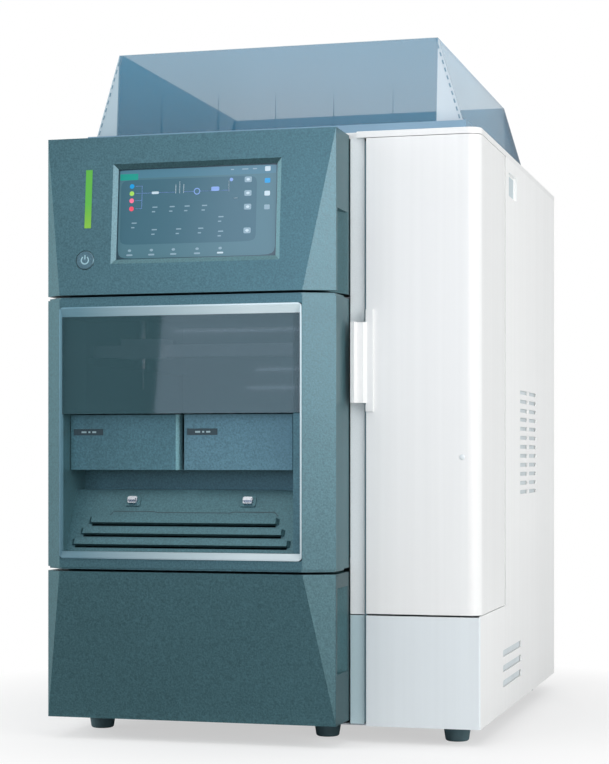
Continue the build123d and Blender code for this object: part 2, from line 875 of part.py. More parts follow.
with BuildPart() as needle:
    collar_z = saddle_z[1] + needle_travel + seat_gap
    holder_low = saddle_z[0] - 10
    rod(needle_holder_radius, (needle_x, needle_y, holder_low), (needle_x, needle_y, collar_z + 1))
    rod(
        needle_holder_radius + 3,
        (needle_x, needle_y, collar_z),
        (needle_x, needle_y, collar_z + collar_height),
    )
    rod(
        needle_radius,
        (needle_x, needle_y, holder_low - needle_length),
        (needle_x, needle_y, holder_low + 1),
    )
finish(needle, "needle")

with BuildPart() as injection_valve:
    valve_x = panel_x[1] - valve_margin
    valve_z = recess_floor + valve_rise
    valve_y = tub_back - sheet
    valve_front = valve_y - valve_depth
    cap_front = valve_front - valve_cap_depth
    rod(valve_radius, (valve_x, valve_y, valve_z), (valve_x, valve_front, valve_z))
    rod(2 / 3 * valve_radius, (valve_x, valve_front + 1, valve_z), (valve_x, cap_front, valve_z))
    with BuildSketch(Plane(origin=(valve_x, cap_front, valve_z), z_dir=(0, -1, 0))) as ports:
        with PolarLocations(valve_radius / 2 - 1, 6):
            RegularPolygon(port_nut_radius, 6)
    extrude(amount=port_nut_height)
finish(injection_valve, "injection_valve")

# ---- Upper bay ----
upper_floor = base + fascia_top + 0.5
tray_end = front + front_setback + tray_floor_length

with BuildPart() as upper_tray:
    with BuildSketch(Plane.YZ.offset(left + sheet)) as upper_side:
        with BuildLine():
            Polyline(
                (frame_front, upper_floor),
                (tray_end, upper_floor),
                (tray_end, upper_floor + sheet),
                (bay_back + sheet, upper_floor + sheet),
                (bay_back + sheet, cover_bottom),
                (bay_back, cover_bottom),
                (bay_back, upper_floor + sheet),
                (frame_front, upper_floor + sheet),
                close=True,
            )
        make_face()
    extrude(amount=partition_left - left - sheet)
    block(
        (block_right, partition_left + 1),
        (frame_front - 1, trim_flange_back),
        (base, top),
        Mode.SUBTRACT,
    )
finish(upper_tray, "upper_tray")

with BuildPart() as degasser:
    degasser_x = (left + degasser_margin, left + degasser_margin + degasser_width)
    degasser_front = bay_back - degasser_depth
    degasser_z = (upper_floor + sheet, upper_floor + sheet + degasser_height)
    block(degasser_x, (degasser_front, bay_back), degasser_z)
    fillet(degasser.faces().sort_by(Axis.Y)[0].edges(), 2)
    port_centre = (sum(degasser_x) / 2, degasser_front, sum(degasser_z) / 2)
    with BuildSketch(Plane(origin=port_centre, x_dir=(1, 0, 0), z_dir=(0, -1, 0))) as degasser_ports:
        with GridLocations(degasser_width / 5, degasser_height / 3, 4, 2):
            RegularPolygon(fitting_radius, 6)
    extrude(amount=fitting_length)
finish(degasser, "degasser")

with BuildPart() as mixer:
    mixer_axis = (left + mixer_x, bay_back - 1.5 * mixer_radius)
    mixer_low = upper_floor + mixer_rise
    mixer_high = mixer_low + mixer_height
    mixer_steps = (
        (mixer_low, mixer_low + mixer_cap, 0.75 * mixer_radius),
        (mixer_low + mixer_cap, mixer_high - mixer_cap, mixer_radius),
        (mixer_high - mixer_cap, mixer_high, 0.75 * mixer_radius),
    )
    for low, high, radius in mixer_steps:
        rod(radius, (*mixer_axis, low), (*mixer_axis, high))
    block(
        (mixer_axis[0] - mixer_radius / 2, mixer_axis[0] + mixer_radius / 2),
        (mixer_axis[1] + mixer_radius / 2, bay_back),
        (mixer_low + 2 * mixer_cap, mixer_high - 2 * mixer_cap),
    )
finish(mixer, "mixer")

# ---- Lower bay: pump ----
pump_face = bay_back - pump_block_depth
pump_centre_z = base + pump_head_height
pump_x = (left + pump_margin, left + pump_margin + pump_block_width)
knob_x = pump_x[1] - purge_knob_margin
knob_z = pump_centre_z + pump_block_height / 8

with BuildPart() as pump_block:
    half_height = pump_block_height / 2
    block(pump_x, (pump_face, bay_back), (pump_centre_z - half_height, pump_centre_z + half_height))
    fillet(pump_block.edges().filter_by(Axis.Y), 5)
    rod(
        latch_stem_radius + running_gap,
        (knob_x, pump_face - 1, knob_z),
        (knob_x, pump_face + pump_block_depth / 2, knob_z),
        Mode.SUBTRACT,
    )
    sensor_place = (knob_x, pump_face, knob_z - pump_head_depth)
    with BuildSketch(Plane(origin=sensor_place, z_dir=(0, -1, 0))) as sensor_nut:
        RegularPolygon(1.5 * pump_valve_radius, 6)
    extrude(amount=fitting_length)
finish(pump_block, "pump_block")

for number, side in enumerate(("left", "right")):
    head_x = pump_x[0] + pump_head_margin + number * pump_head_spacing
    head_front = pump_face - pump_head_depth
    valve_y = (pump_face - pump_flange_depth + head_front) / 2
    with BuildPart() as pump_head:
        with BuildSketch(Plane(origin=(head_x, pump_face, pump_centre_z), z_dir=(0, -1, 0))) as flange_plan:
            Circle(pump_head_radius + 4)
        extrude(amount=pump_flange_depth)
        rod(
            pump_head_radius,
            (head_x, pump_face - pump_flange_depth / 2, pump_centre_z),
            (head_x, head_front, pump_centre_z),
        )
        for direction in (-1, 1):
            valve_end = pump_centre_z + direction * 1.5 * pump_head_radius
            rod(pump_valve_radius, (head_x, valve_y, pump_centre_z), (head_x, valve_y, valve_end))
        with BuildSketch(Plane(origin=(head_x, head_front, pump_centre_z), z_dir=(0, -1, 0))) as bolts:
            with PolarLocations(0.7 * pump_head_radius, 4, start_angle=45):
                RegularPolygon(port_nut_radius, 6)
        extrude(amount=2)
    finish(pump_head, f"{side}_pump_head")

with BuildPart() as purge_knob:
    stem_end = pump_face + pump_block_depth / 2 - 2
    rod(latch_stem_radius, (knob_x, stem_end, knob_z), (knob_x, pump_face - 4, knob_z))
    knob_plane = Plane(origin=(knob_x, pump_face - seat_gap, knob_z), z_dir=(0, -1, 0))
    with BuildSketch(knob_plane) as knob_plan:
        Circle(purge_knob_radius)
        with PolarLocations(1.1 * purge_knob_radius, 8):
            Circle(purge_knob_radius / 4, mode=Mode.SUBTRACT)
    extrude(amount=purge_knob_height)
finish(purge_knob, "purge_knob")

# ---- Cabinet sheets ----
foot_xs = (left + foot_margin_left, block_right - foot_margin_block, right - foot_margin_right)
foot_ys = (front + foot_margin_front, rear - foot_margin_rear)
foot_places = [(x, y) for y in foot_ys for x in foot_xs]
lining_x = (left + sheet, right - sheet)
rear_inside = rear - sheet

with BuildPart() as base_pan:
    pan_flange = 22.0
    block(lining_x, (frame_front, rear_inside), (base, base + pan_flange))
    block(
        (lining_x[0] + sheet, lining_x[1] - sheet),
        (frame_front - 1, rear_inside - sheet),
        (base + sheet, base + pan_flange + 1),
        Mode.SUBTRACT,
    )
    with BuildSketch(Plane.XY.offset(base - 1)) as screw_holes:
        with Locations(*foot_places):
            Circle(2.2)
    extrude(amount=sheet + 2, mode=Mode.SUBTRACT)
finish(base_pan, "base_pan")

for row, label in enumerate(("front_feet", "rear_feet")):
    with BuildPart() as feet:
        with Locations(*[(x, y, 0) for x, y in foot_places[3 * row : 3 * row + 3]]):
            Cone(
                foot_tip_radius,
                foot_radius,
                foot_height,
                align=(Align.CENTER, Align.CENTER, Align.MIN),
            )
        tips = feet.faces().sort_by(Axis.Z)[:3]
        fillet([edge for face in tips for edge in face.edges()], 2.5)
    finish(feet, label)

side_low = base
side_top = cover_bottom
vent_centre = (rear - vent_from_rear, base + vent_centre_z)
vent_places = grid(vent_columns, vent_column_pitch, vent_rows, vent_pitch, vent_centre)
low_slot_places = [
    (front + low_slot_y, base + low_slot_z + step * low_slot_pitch) for step in (-1, 0, 1)
]
vent_width = (vent_columns - 1) * vent_column_pitch + vent_slot_length
vent_height = (vent_rows - 1) * vent_pitch + vent_slot_height


def vent_baffle(inner, inward):
    """White sheet on two short legs behind the side panel's upper vents."""
    face = inner + inward * baffle_gap
    low_y = vent_centre[0] - vent_width / 2 - baffle_margin
    high_y = vent_centre[0] + vent_width / 2 + baffle_margin
    low_z = vent_centre[1] - vent_height / 2 - baffle_margin
    high_z = vent_centre[1] + vent_height / 2 + baffle_margin
    block(sorted((face, face + inward * sheet)), (low_y, high_y), (low_z, high_z))
    for leg_y in (low_y, high_y - sheet):
        block(sorted((inner, face)), (leg_y, leg_y + sheet), (low_z, high_z))



with BuildPart() as left_side_panel:
    block((left, left + sheet), (frame_front, rear), (side_low, side_top))
    rounded_slots(Plane.YZ.offset(left), vent_slot_length, vent_slot_height, vent_places)
    rounded_slots(Plane.YZ.offset(left), low_slot_length, low_slot_height, low_slot_places)
    vent_baffle(left + sheet, 1)
finish(left_side_panel, "left_side_panel")

with BuildPart() as right_side_panel:
    with BuildSketch(Plane.YZ.offset(right - sheet)) as side_outline:
        with BuildLine():
            Polyline(
                (front + 2, side_low),
                (rear, side_low),
                (rear, side_top),
                (front + oven_door_wrap + door_gap, side_top),
                (front + oven_door_wrap + door_gap, oven_bottom),
                (front + 2, oven_bottom),
                close=True,
            )
        make_face()
    extrude(amount=sheet)
    rounded_slots(Plane.YZ.offset(right), vent_slot_length, vent_slot_height, vent_places)
    rounded_slots(Plane.YZ.offset(right), low_slot_length, low_slot_height, low_slot_places)
    vent_baffle(right - sheet, -1)
    recess_y = front + side_recess_y
    recess_z = top - side_recess_drop
    half_width = side_recess_width / 2
    half_height = side_recess_height / 2
    block(
        (right - 3 * sheet, right - sheet),
        (recess_y - half_width - sheet, recess_y + half_width + sheet),
        (recess_z - half_height - sheet, recess_z + half_height + sheet),
    )
    block(
        (right - 2 * sheet, right + 1),
        (recess_y - half_width, recess_y + half_width),
        (recess_z - half_height, recess_z + half_height),
        Mode.SUBTRACT,
    )
finish(right_side_panel, "right_side_panel")

inlet_x = right - 70.0
inlet_z = base + 48.0
drain_x = left + 60.0
drain_z = base + 34.0
inlet_width = 48.0
inlet_height = 28.0
inlet_depth = 20.0
inlet_flange = 2.0
socket_width = 24.0
socket_height = 16.0
socket_depth = 17.0
contact_spread = 7.0
contact_length = 8.0
drain_radius = 4.0
drain_neck_radius = 3.4
drain_bore_radius = 2.2
drain_collar = 6.0
rear_plane = Plane(origin=(0, rear, 0), x_dir=(1, 0, 0), z_dir=(0, -1, 0))

with BuildPart() as rear_panel:
    block(lining_x, (rear_inside, rear), (base, cover_bottom))
    guard_bars = 5
    guard_bar = 4.0
    fan_centre = (left + fan_x, top - fan_drop)
    ring_width = (fan_radius - guard_bar) / guard_bars
    with BuildSketch(rear_plane) as fan_grille:
        with Locations(fan_centre):
            for ring in range(guard_bars - 1, 0, -1):
                outer = guard_bar + (ring + 1) * ring_width
                Circle(outer)
                Circle(outer - ring_width + guard_bar, mode=Mode.SUBTRACT)
            Rectangle(2 * fan_radius, 2 * guard_bar, mode=Mode.SUBTRACT)
            Rectangle(2 * guard_bar, 2 * fan_radius, mode=Mode.SUBTRACT)
    extrude(amount=2 * sheet, both=True, mode=Mode.SUBTRACT)
    rounded_slots(rear_plane, 60, 5, grid(2, 74, 8, 14, (right - 105, base + 190)))
    block(
        (inlet_x - inlet_width / 2, inlet_x + inlet_width / 2),
        (rear_inside - 1, rear + 1),
        (inlet_z - inlet_height / 2, inlet_z + inlet_height / 2),
        Mode.SUBTRACT,
    )
    neck_start = (drain_x, rear_inside - 1, drain_z)
    neck_end = (drain_x, rear + 1, drain_z)
    rod(drain_neck_radius, neck_start, neck_end, Mode.SUBTRACT)
finish(rear_panel, "rear_panel")

with BuildPart() as top_cover:
    with BuildSketch(Plane.XY.offset(cover_bottom)) as cover_plan:
        with BuildLine():
            Polyline(
                (left, frame_front),
                (partition_left - 5, frame_front),
                (partition_left - 5, front),
                (right, front),
                (right, rear),
                (left, rear),
                close=True,
            )
        make_face()
        fillet(cover_plan.vertices().sort_by_distance((right, front))[0], cover_corner_radius)
    extrude(amount=cover_rim)
    fillet(top_cover.faces().sort_by(Axis.Z)[-1].edges(), 1)
    with BuildSketch(Plane.XY.offset(cover_bottom - 1)) as cover_hollow:
        add(cover_plan.sketch.moved(Location((0, 0, -cover_bottom))))
        offset(amount=-2 * sheet, kind=Kind.INTERSECTION)
    extrude(amount=cover_rim + 1 - sheet, mode=Mode.SUBTRACT)
    oven_hinge = (oven_hinge_x, oven_hinge_y)
    rod(oven_hinge_radius, (*oven_hinge, cover_bottom), (*oven_hinge, top - 0.5))
    rod(oven_pin_radius, (*oven_hinge, cover_bottom - oven_pin_depth), (*oven_hinge, top - 1))
finish(top_cover, "top_cover")

with BuildPart() as centre_partition:
    partition_y = (frame_front, rear_inside - sheet)
    block((partition_left, partition_right), partition_y, (base + sheet, cover_bottom))
    block(
        (block_right + trim_side_gap, partition_left),
        (trim_flange_back - sheet, trim_flange_back),
        (base + sheet, cover_bottom),
    )
finish(centre_partition, "centre_partition")

# ---- Hinge plates of the dark doors ----
plate_thickness = 2.5
plate_half_width = hinge_radius - 0.5
plate_reach = frame_front + 36.0

with BuildPart() as hinge_plates:
    for plate_z, pin_end in (
        (top, base + upper_door_top - hinge_pin_depth),
        (base + sheet, base + lower_door_bottom + hinge_pin_depth),
    ):
        with BuildSketch(Plane.XY.offset(plate_z)) as plate_plan:
            with Locations((hinge_x, hinge_y)):
                Circle(plate_half_width)
            with BuildLine():
                Polyline(
                    (left + 2 * sheet, hinge_y),
                    (hinge_x + plate_half_width, hinge_y),
                    (hinge_x + plate_half_width, plate_reach),
                    (left + 2 * sheet, plate_reach),
                    close=True,
                )
            make_face()
        extrude(amount=plate_thickness)
        middle_z = plate_z + plate_thickness / 2
        rod(hinge_pin_radius, (hinge_x, hinge_y, middle_z), (hinge_x, hinge_y, pin_end))
finish(hinge_plates, "hinge_plates")

# ---- Bright trim beside the dark block ----
trim_x = (block_right + trim_side_gap, block_right + trim_side_gap + trim_width)
trim_y = (front + trim_setback, front + trim_setback + trim_depth)
trim_splits = {
    "trim_strip_lower": (base + sheet, oven_bottom - trim_seam_gap),
    "trim_strip_upper": (oven_bottom, cover_bottom),
}
for label, (low, high) in trim_splits.items():
    with BuildPart() as trim_strip:
        block(trim_x, trim_y, (low, high))
        lip_y = (trim_y[0], trim_y[0] + trim_lip_thickness)
        block((trim_x[1] - 1, trim_x[1] + trim_lip), lip_y, (low, high))
        front_uprights = trim_strip.edges().filter_by(Axis.Z).sort_by(Axis.Y)[:2]
        fillet(front_uprights, trim_lip_thickness / 2)
    finish(trim_strip, label)

# ---- Lower right front panel ----
with BuildPart() as lower_right_panel:
    panel_left = left + oven_door_left
    panel_top = oven_bottom - trim_seam_gap
    block((panel_left, right), (front, front + 2), (base, panel_top))
    outer_edge = lower_right_panel.edges().filter_by(Axis.Z).sort_by(Axis.Y)[:2].sort_by(Axis.X)[-1]
    fillet(outer_edge, 1.5)
    block((panel_left, panel_left + 2), (front + 1, front + liner_setback), (base + sheet, panel_top))
finish(lower_right_panel, "lower_right_panel")

# ---- Column oven ----
oven_shelf_top = oven_bottom - trim_seam_gap + sheet

with BuildPart() as oven_shelf:
    shelf_z = (oven_shelf_top - sheet, oven_shelf_top)
    block((partition_right, right - sheet), (front + liner_setback, rear_inside), shelf_z)
    rod(
        oven_pin_radius,
        (oven_hinge_x, oven_hinge_y, oven_shelf_top - 1),
        (oven_hinge_x, oven_hinge_y, oven_shelf_top + oven_pin_depth),
    )
finish(oven_shelf, "oven_shelf")

door_low = oven_shelf_top + seat_gap
door_high = cover_bottom - 2 * seat_gap
door_left = left + oven_door_left
door_return = 12.0

with BuildPart() as oven_door:
    wall = moulding_wall
    with BuildSketch(Plane.XY.offset(door_low)) as door_plan:
        with BuildLine():
            Polyline(
                (door_left, front),
                (right, front),
                (right, oven_hinge_y),
                (right - 2 * oven_hinge_radius, oven_hinge_y),
                (right - 2 * oven_hinge_radius, oven_hinge_y - oven_hinge_radius),
                (right - wall, oven_hinge_y - oven_hinge_radius),
                (right - wall, front + wall),
                (door_left + wall, front + wall),
                (door_left + wall, front + door_return),
                (door_left, front + door_return),
                close=True,
            )
        make_face()
        with Locations((oven_hinge_x, oven_hinge_y)):
            Circle(oven_hinge_radius)
        fillet(door_plan.vertices().sort_by_distance((right, front))[0], cover_corner_radius)
        fillet(
            door_plan.vertices().sort_by_distance((right - wall, front + wall))[0],
            cover_corner_radius - wall,
        )
    extrude(amount=door_high - door_low)
    for rim_z in (door_low, door_high - wall):
        with BuildSketch(Plane.XY.offset(rim_z)) as rim_plan:
            with BuildLine():
                Polyline(
                    (door_left + wall, front + wall - 1),
                    (right - wall + 1, front + wall - 1),
                    (right - wall + 1, oven_hinge_y - oven_hinge_radius),
                    (right - wall - 3, oven_hinge_y - oven_hinge_radius),
                    (right - wall - 3, front + door_return),
                    (door_left + wall, front + door_return),
                    close=True,
                )
            make_face()
            fillet(
                rim_plan.vertices().sort_by_distance((right, front))[0],
                cover_corner_radius - wall,
            )
        extrude(amount=wall)
    for start, end in (
        (door_low - 1, door_low + oven_pin_depth + 1),
        (door_high + 1, door_high - oven_pin_depth - 1),
    ):
        rod(
            oven_pin_radius + running_gap,
            (oven_hinge_x, oven_hinge_y, start),
            (oven_hinge_x, oven_hinge_y, end),
            Mode.SUBTRACT,
        )
finish(oven_door, "oven_door")

with BuildPart() as oven_door_handle:
    strip_x = door_left - handle_strip_reach
    web = handle_web
    reach = handle_reach
    web_front = front - 3.5 - web
    plate_low = oven_bottom + handle_rise
    with BuildSketch(Plane.XY.offset(plate_low)) as plate_section:
        with Locations((door_left + handle_plate_width / 2, front - handle_plate_rise / 2)):
            Rectangle(handle_plate_width, handle_plate_rise)
    extrude(amount=handle_height)
    with BuildSketch(Plane.XY.offset(plate_low + handle_grip_drop)) as grip_section:
        with BuildLine():
            Polyline(
                (door_left + handle_plate_width, front),
                (door_left + handle_plate_width, front - handle_plate_rise),
                (door_left + 1.5, front - handle_plate_rise),
                (door_left - 1.5, web_front),
                (strip_x + handle_lip, web_front),
                (strip_x + handle_lip - 1, front - reach),
                (strip_x, front - reach),
                (strip_x, web_front + web),
                (door_left, web_front + web),
                (door_left, front),
                close=True,
            )
        make_face()
    extrude(amount=handle_grip_height)
finish(oven_door_handle, "oven_door_handle")

with BuildPart() as oven_gasket:
    block(
        (partition_right, door_left - 2 * seat_gap),
        (frame_front + 1, frame_front + 9),
        (oven_shelf_top, cover_bottom),
    )
    fillet(oven_gasket.edges().filter_by(Axis.Z).sort_by(Axis.Y)[:2], 1)
finish(oven_gasket, "oven_gasket")

liner_x = (partition_right, right - 2 * oven_hinge_radius - 4)
liner_y = (front + liner_setback, oven_hinge_y - oven_hinge_radius - 2)
liner_z = (oven_shelf_top, cover_bottom)
cavity_x = (liner_x[0] + liner_wall, liner_x[1])
cavity_y = (liner_y[0], liner_y[1] - liner_wall)
cavity_z = (liner_z[0] + liner_wall, liner_z[1] - liner_wall)

with BuildPart() as oven_liner:
    block(liner_x, liner_y, liner_z)
    block(
        (cavity_x[0], cavity_x[1] + 1),
        (cavity_y[0] - 1, cavity_y[1]),
        cavity_z,
        Mode.SUBTRACT,
    )
finish(oven_liner, "oven_liner")

column_x = sum(cavity_x) / 2
column_y = cavity_y[1] - column_stand
column_low = (sum(cavity_z) - column_length) / 2
column_high = column_low + column_length

with BuildPart() as heater_block:
    heater_x = (cavity_x[0] + heater_margin, cavity_x[1] - heater_margin)
    heater_z = (cavity_z[0] + heater_end_gap, cavity_z[1] - heater_end_gap)
    plate_front = cavity_y[1] - heater_thickness
    block(heater_x, (plate_front, cavity_y[1]), heater_z)
    fin_count = int((heater_x[1] - heater_x[0] - fin_thickness) // fin_pitch) + 1
    for step in range(fin_count):
        fin_x = column_x + (step - (fin_count - 1) / 2) * fin_pitch
        block((fin_x - 1, fin_x - 1 + fin_thickness), (plate_front - fin_height, cavity_y[1]), heater_z)
    for clip_z in (column_low + clip_inset, column_high - clip_inset - clip_height):
        with BuildSketch(Plane.XY.offset(clip_z)) as clip_plan:
            with Locations((column_x, column_y)):
                Circle(column_radius + clip_wall)
            with Locations((column_x, (column_y + cavity_y[1]) / 2)):
                Rectangle(column_radius + 1, cavity_y[1] - column_y)
            with Locations((column_x, column_y)):
                Circle(column_radius, mode=Mode.SUBTRACT)
            with Locations((column_x, column_y - column_radius)):
                Rectangle(1.6 * column_radius, 2 * column_radius, mode=Mode.SUBTRACT)
        extrude(amount=clip_height)
finish(heater_block, "heater_block")

with BuildPart() as column:
    rod(column_radius, (column_x, column_y, column_low), (column_x, column_y, column_high))
    for nut_z in (column_low, column_high - column_nut_height):
        with BuildSketch(Plane.XY.offset(nut_z)) as nut_plan:
            with Locations((column_x, column_y)):
                RegularPolygon(column_radius + 3, 6)
        extrude(amount=column_nut_height)
    stub = 2 * column_radius
    rod(
        column_radius / 2,
        (column_x, column_y, column_low - stub),
        (column_x, column_y, column_high + stub),
    )
finish(column, "column")

# ---- Detector, electronics and services ----
with BuildPart() as detector_housing:
    detector_x = (partition_right + detector_left_gap, right - detector_right_gap)
    detector_y = (liner_y[1] + detector_gap, liner_y[1] + detector_gap + detector_length)
    detector_top = oven_shelf_top + detector_height
    block(detector_x, detector_y, (oven_shelf_top, detector_top))
    fillet(detector_housing.edges().filter_by(Axis.Z), 6)
    with BuildSketch(Plane.XY.offset(detector_top)) as lamp_cover:
        with Locations((sum(detector_x) / 2, detector_y[1] - lamp_length + 20)):
            RectangleRounded(lamp_width, lamp_length, 5)
    extrude(amount=lamp_height)
finish(detector_housing, "detector_housing")

with BuildPart() as power_supply:
    supply_x = (right - 2 * sheet - supply_width, right - 2 * sheet)
    supply_end = rear_inside - sheet - supply_rear_gap
    supply_top = base + sheet + supply_height
    block(supply_x, (supply_end - supply_length, supply_end), (base + sheet, supply_top))
    with BuildSketch(Plane.XY.offset(supply_top)) as supply_slots:
        with Locations((sum(supply_x) / 2, supply_end - supply_length / 2)):
            with GridLocations(0, supply_length / 10, 1, 7):
                Rectangle(0.6 * supply_width, supply_length / 26)
    extrude(amount=-3, mode=Mode.SUBTRACT)
finish(power_supply, "power_supply")

with BuildPart() as main_board:
    board_x = partition_left - board_stand
    board_end = rear_inside - board_rear_gap
    board_y = (board_end - board_length, board_end)
    board_z = (base + board_rise, base + board_rise + board_height)
    block((board_x, board_x + board_thickness), board_y, board_z)
    for spacer_y in (board_y[0] + board_stand, board_y[1] - board_stand):
        for spacer_z in (board_z[0] + board_stand, board_z[1] - board_stand):
            rod(3, (board_x + 1, spacer_y, spacer_z), (partition_left, spacer_y, spacer_z))
    chip_places = ((0.18, 0.25, 14), (0.4, 0.3, 20), (0.27, 0.65, 24), (0.53, 0.7, 12))
    for share_y, share_z, chip_size in chip_places:
        chip_y = board_y[0] + share_y * board_length
        chip_z = board_z[0] + share_z * board_height
        block(
            (board_x - chip_height, board_x),
            (chip_y, chip_y + chip_size),
            (chip_z, chip_z + chip_size),
        )
finish(main_board, "main_board")

fan_depth = 25.0
fan_half = fan_radius + 6.0
hub_radius = 18.0
fan_spider = 3.0
fan_spindle_radius = 3.0
blade_count = 7
blade_pitch = 38.0
blade_thickness = 1.6
blade_chord = 15.0


def on_fan_axis(y):
    """Point of the fan's axis at depth y."""
    return (fan_centre[0], y, fan_centre[1])


with BuildPart() as fan_frame:
    fan_back = rear_inside
    fan_front = rear_inside - fan_depth
    block(
        (fan_centre[0] - fan_half, fan_centre[0] + fan_half),
        (fan_front, fan_back),
        (fan_centre[1] - fan_half, fan_centre[1] + fan_half),
    )
    fillet(fan_frame.edges().filter_by(Axis.Y), 6)
    rod(fan_radius, on_fan_axis(fan_front - 1), on_fan_axis(fan_back + 1), Mode.SUBTRACT)
    rod(hub_radius, on_fan_axis(fan_front), on_fan_axis(fan_front + fan_spider))
    spoke_plane = Plane(origin=on_fan_axis(fan_front), x_dir=(1, 0, 0), z_dir=(0, 1, 0))
    with BuildSketch(spoke_plane) as spokes:
        with PolarLocations(0, 3):
            with Locations((fan_radius / 2 + 1, 0)):
                Rectangle(fan_radius + 2, 4)
    extrude(amount=fan_spider)
    rod(fan_spindle_radius, on_fan_axis(fan_front + 1), on_fan_axis(fan_back - 6))
finish(fan_frame, "fan_frame")

with BuildPart() as fan_rotor:
    rotor_front = fan_front + fan_spider + 1
    rotor_back = fan_back - 3
    rod(hub_radius, on_fan_axis(rotor_front), on_fan_axis(rotor_back))
    blade_length = fan_radius - hub_radius
    blade_root = Location((hub_radius + blade_length / 2 - 2, 0, 0), (blade_pitch, 0, 0))
    for step in range(blade_count):
        turn = (0, step * 360 / blade_count, 0)
        turned = Location(on_fan_axis((rotor_front + rotor_back) / 2), turn)
        with Locations(turned * blade_root):
            Box(blade_length, blade_thickness, blade_chord)
    spindle_bore = fan_spindle_radius + running_gap
    rod(spindle_bore, on_fan_axis(rotor_front - 1), on_fan_axis(fan_back - 5), Mode.SUBTRACT)
finish(fan_rotor, "fan_rotor")

with BuildPart() as mains_inlet:
    inlet_plane = Plane(origin=(inlet_x, rear, inlet_z), x_dir=(-1, 0, 0), z_dir=(0, 1, 0))
    with BuildSketch(inlet_plane) as flange_outline:
        RectangleRounded(inlet_width + 4, inlet_height + 4, 3)
    extrude(amount=inlet_flange)
    with BuildSketch(inlet_plane.offset(-inlet_depth)) as inlet_body:
        Rectangle(inlet_width, inlet_height)
    extrude(amount=inlet_depth + 1)
    with BuildSketch(inlet_plane.offset(inlet_flange)) as socket_mouth:
        RectangleRounded(socket_width, socket_height, 3)
    extrude(amount=-socket_depth, mode=Mode.SUBTRACT)
    with BuildSketch(inlet_plane.offset(1 - socket_depth)) as contacts:
        with Locations((-contact_spread, -2), (0, 2), (contact_spread, -2)):
            Rectangle(2, 4)
    extrude(amount=contact_length)
finish(mains_inlet, "mains_inlet")


def on_drain_axis(y):
    """Point of the drain's axis at depth y."""
    return (drain_x, y, drain_z)


with BuildPart() as drain_port:
    rod(drain_radius, on_drain_axis(rear), on_drain_axis(rear + rear_reach))
    rod(drain_neck_radius, on_drain_axis(rear_inside - 1), on_drain_axis(rear + 1))
    rod(drain_radius + 5, on_drain_axis(rear_inside), on_drain_axis(rear_inside - drain_collar))
    bore_start = on_drain_axis(rear_inside - drain_collar + 2)
    rod(drain_bore_radius, bore_start, on_drain_axis(rear + rear_reach + 1), Mode.SUBTRACT)
finish(drain_port, "drain_port")

# ---- Reservoir tray and guard on the cover ----
guard_base = top + tray_thickness
guard_front_y = front + guard_front_margin
guard_rear_y = guard_front_y + guard_top_depth
guard_top_z = top + guard_rise
guard_low_half = guard_top_width / 2 + guard_side_lean
guard_low_front = guard_front_y - guard_front_lean
guard_low_rear = guard_rear_y + guard_rear_lean


def lean_plane(corner_top, corner_low, along):
    """Plane through a top corner, a foot corner and a level direction."""
    slope = Vector(*corner_low) - Vector(*corner_top)
    normal = Vector(*along).cross(slope)
    return Plane(origin=corner_top, z_dir=normal)


def guard_body(inset):
    """Solid bounded by the guard's leaning faces, all drawn in by inset."""
    half = guard_top_width / 2
    faces = []
    for side in (-1, 1):
        edge_top = (side * half, guard_front_y, guard_top_z)
        edge_low = (side * guard_low_half, guard_front_y, guard_base)
        faces.append(lean_plane(edge_top, edge_low, (0, 1, 0)))
    faces.append(lean_plane((0, guard_front_y, guard_top_z), (0, guard_low_front, guard_base), (1, 0, 0)))
    faces.append(lean_plane((0, guard_rear_y, guard_top_z), (0, guard_low_rear, guard_base), (1, 0, 0)))
    for side in (-1, 1):
        for top_y, low_y in ((guard_front_y, guard_low_front), (guard_rear_y, guard_low_rear)):
            corner = (side * half, top_y, guard_top_z)
            foot_side = Vector(side * guard_low_half, top_y, guard_base)
            foot_end = Vector(side * half, low_y, guard_base)
            faces.append(lean_plane(corner, tuple(foot_side), tuple(foot_end - foot_side)))
    centre = Vector(0, (guard_front_y + guard_rear_y) / 2, (guard_base + guard_top_z) / 2)
    spill = 1.0 if inset > 0 else 0.0
    with BuildPart() as body:
        block(
            (-guard_low_half, guard_low_half),
            (guard_low_front, guard_low_rear),
            (guard_base - spill, guard_top_z + spill),
        )
        for face in faces:
            outward = face if face.to_local_coords(centre).Z < 0 else -face
            split(bisect_by=outward.offset(-inset), keep=Keep.BOTTOM)
    return body.part


with BuildPart() as reservoir_tray:
    half_width = guard_low_half + tray_wall
    rim_y = (guard_low_front - tray_wall, guard_low_rear + tray_wall)
    block((-half_width, half_width), rim_y, (top, top + tray_rim))
    block(
        (-guard_low_half, guard_low_half),
        (guard_low_front, guard_low_rear),
        (guard_base, top + tray_rim + 1),
        Mode.SUBTRACT,
    )
    platform_half = guard_top_width / 2 - tray_platform_margin
    platform_y = (guard_front_y + tray_platform_margin, guard_rear_y - tray_platform_margin)
    block((-platform_half, platform_half), platform_y, (top, guard_base + tray_platform_rise))
finish(reservoir_tray, "reservoir_tray")

with BuildPart() as guard_ribs:
    for step in range(guard_rib_count):
        rib_x = (step - (guard_rib_count - 1) / 2) * guard_rib_pitch
        block(
            (rib_x - guard_rib_thickness / 2, rib_x + guard_rib_thickness / 2),
            (guard_low_front, guard_low_front + guard_thickness + guard_rib_depth),
            (guard_base, guard_base + guard_rib_height),
        )
    add(guard_body(1), mode=Mode.INTERSECT)

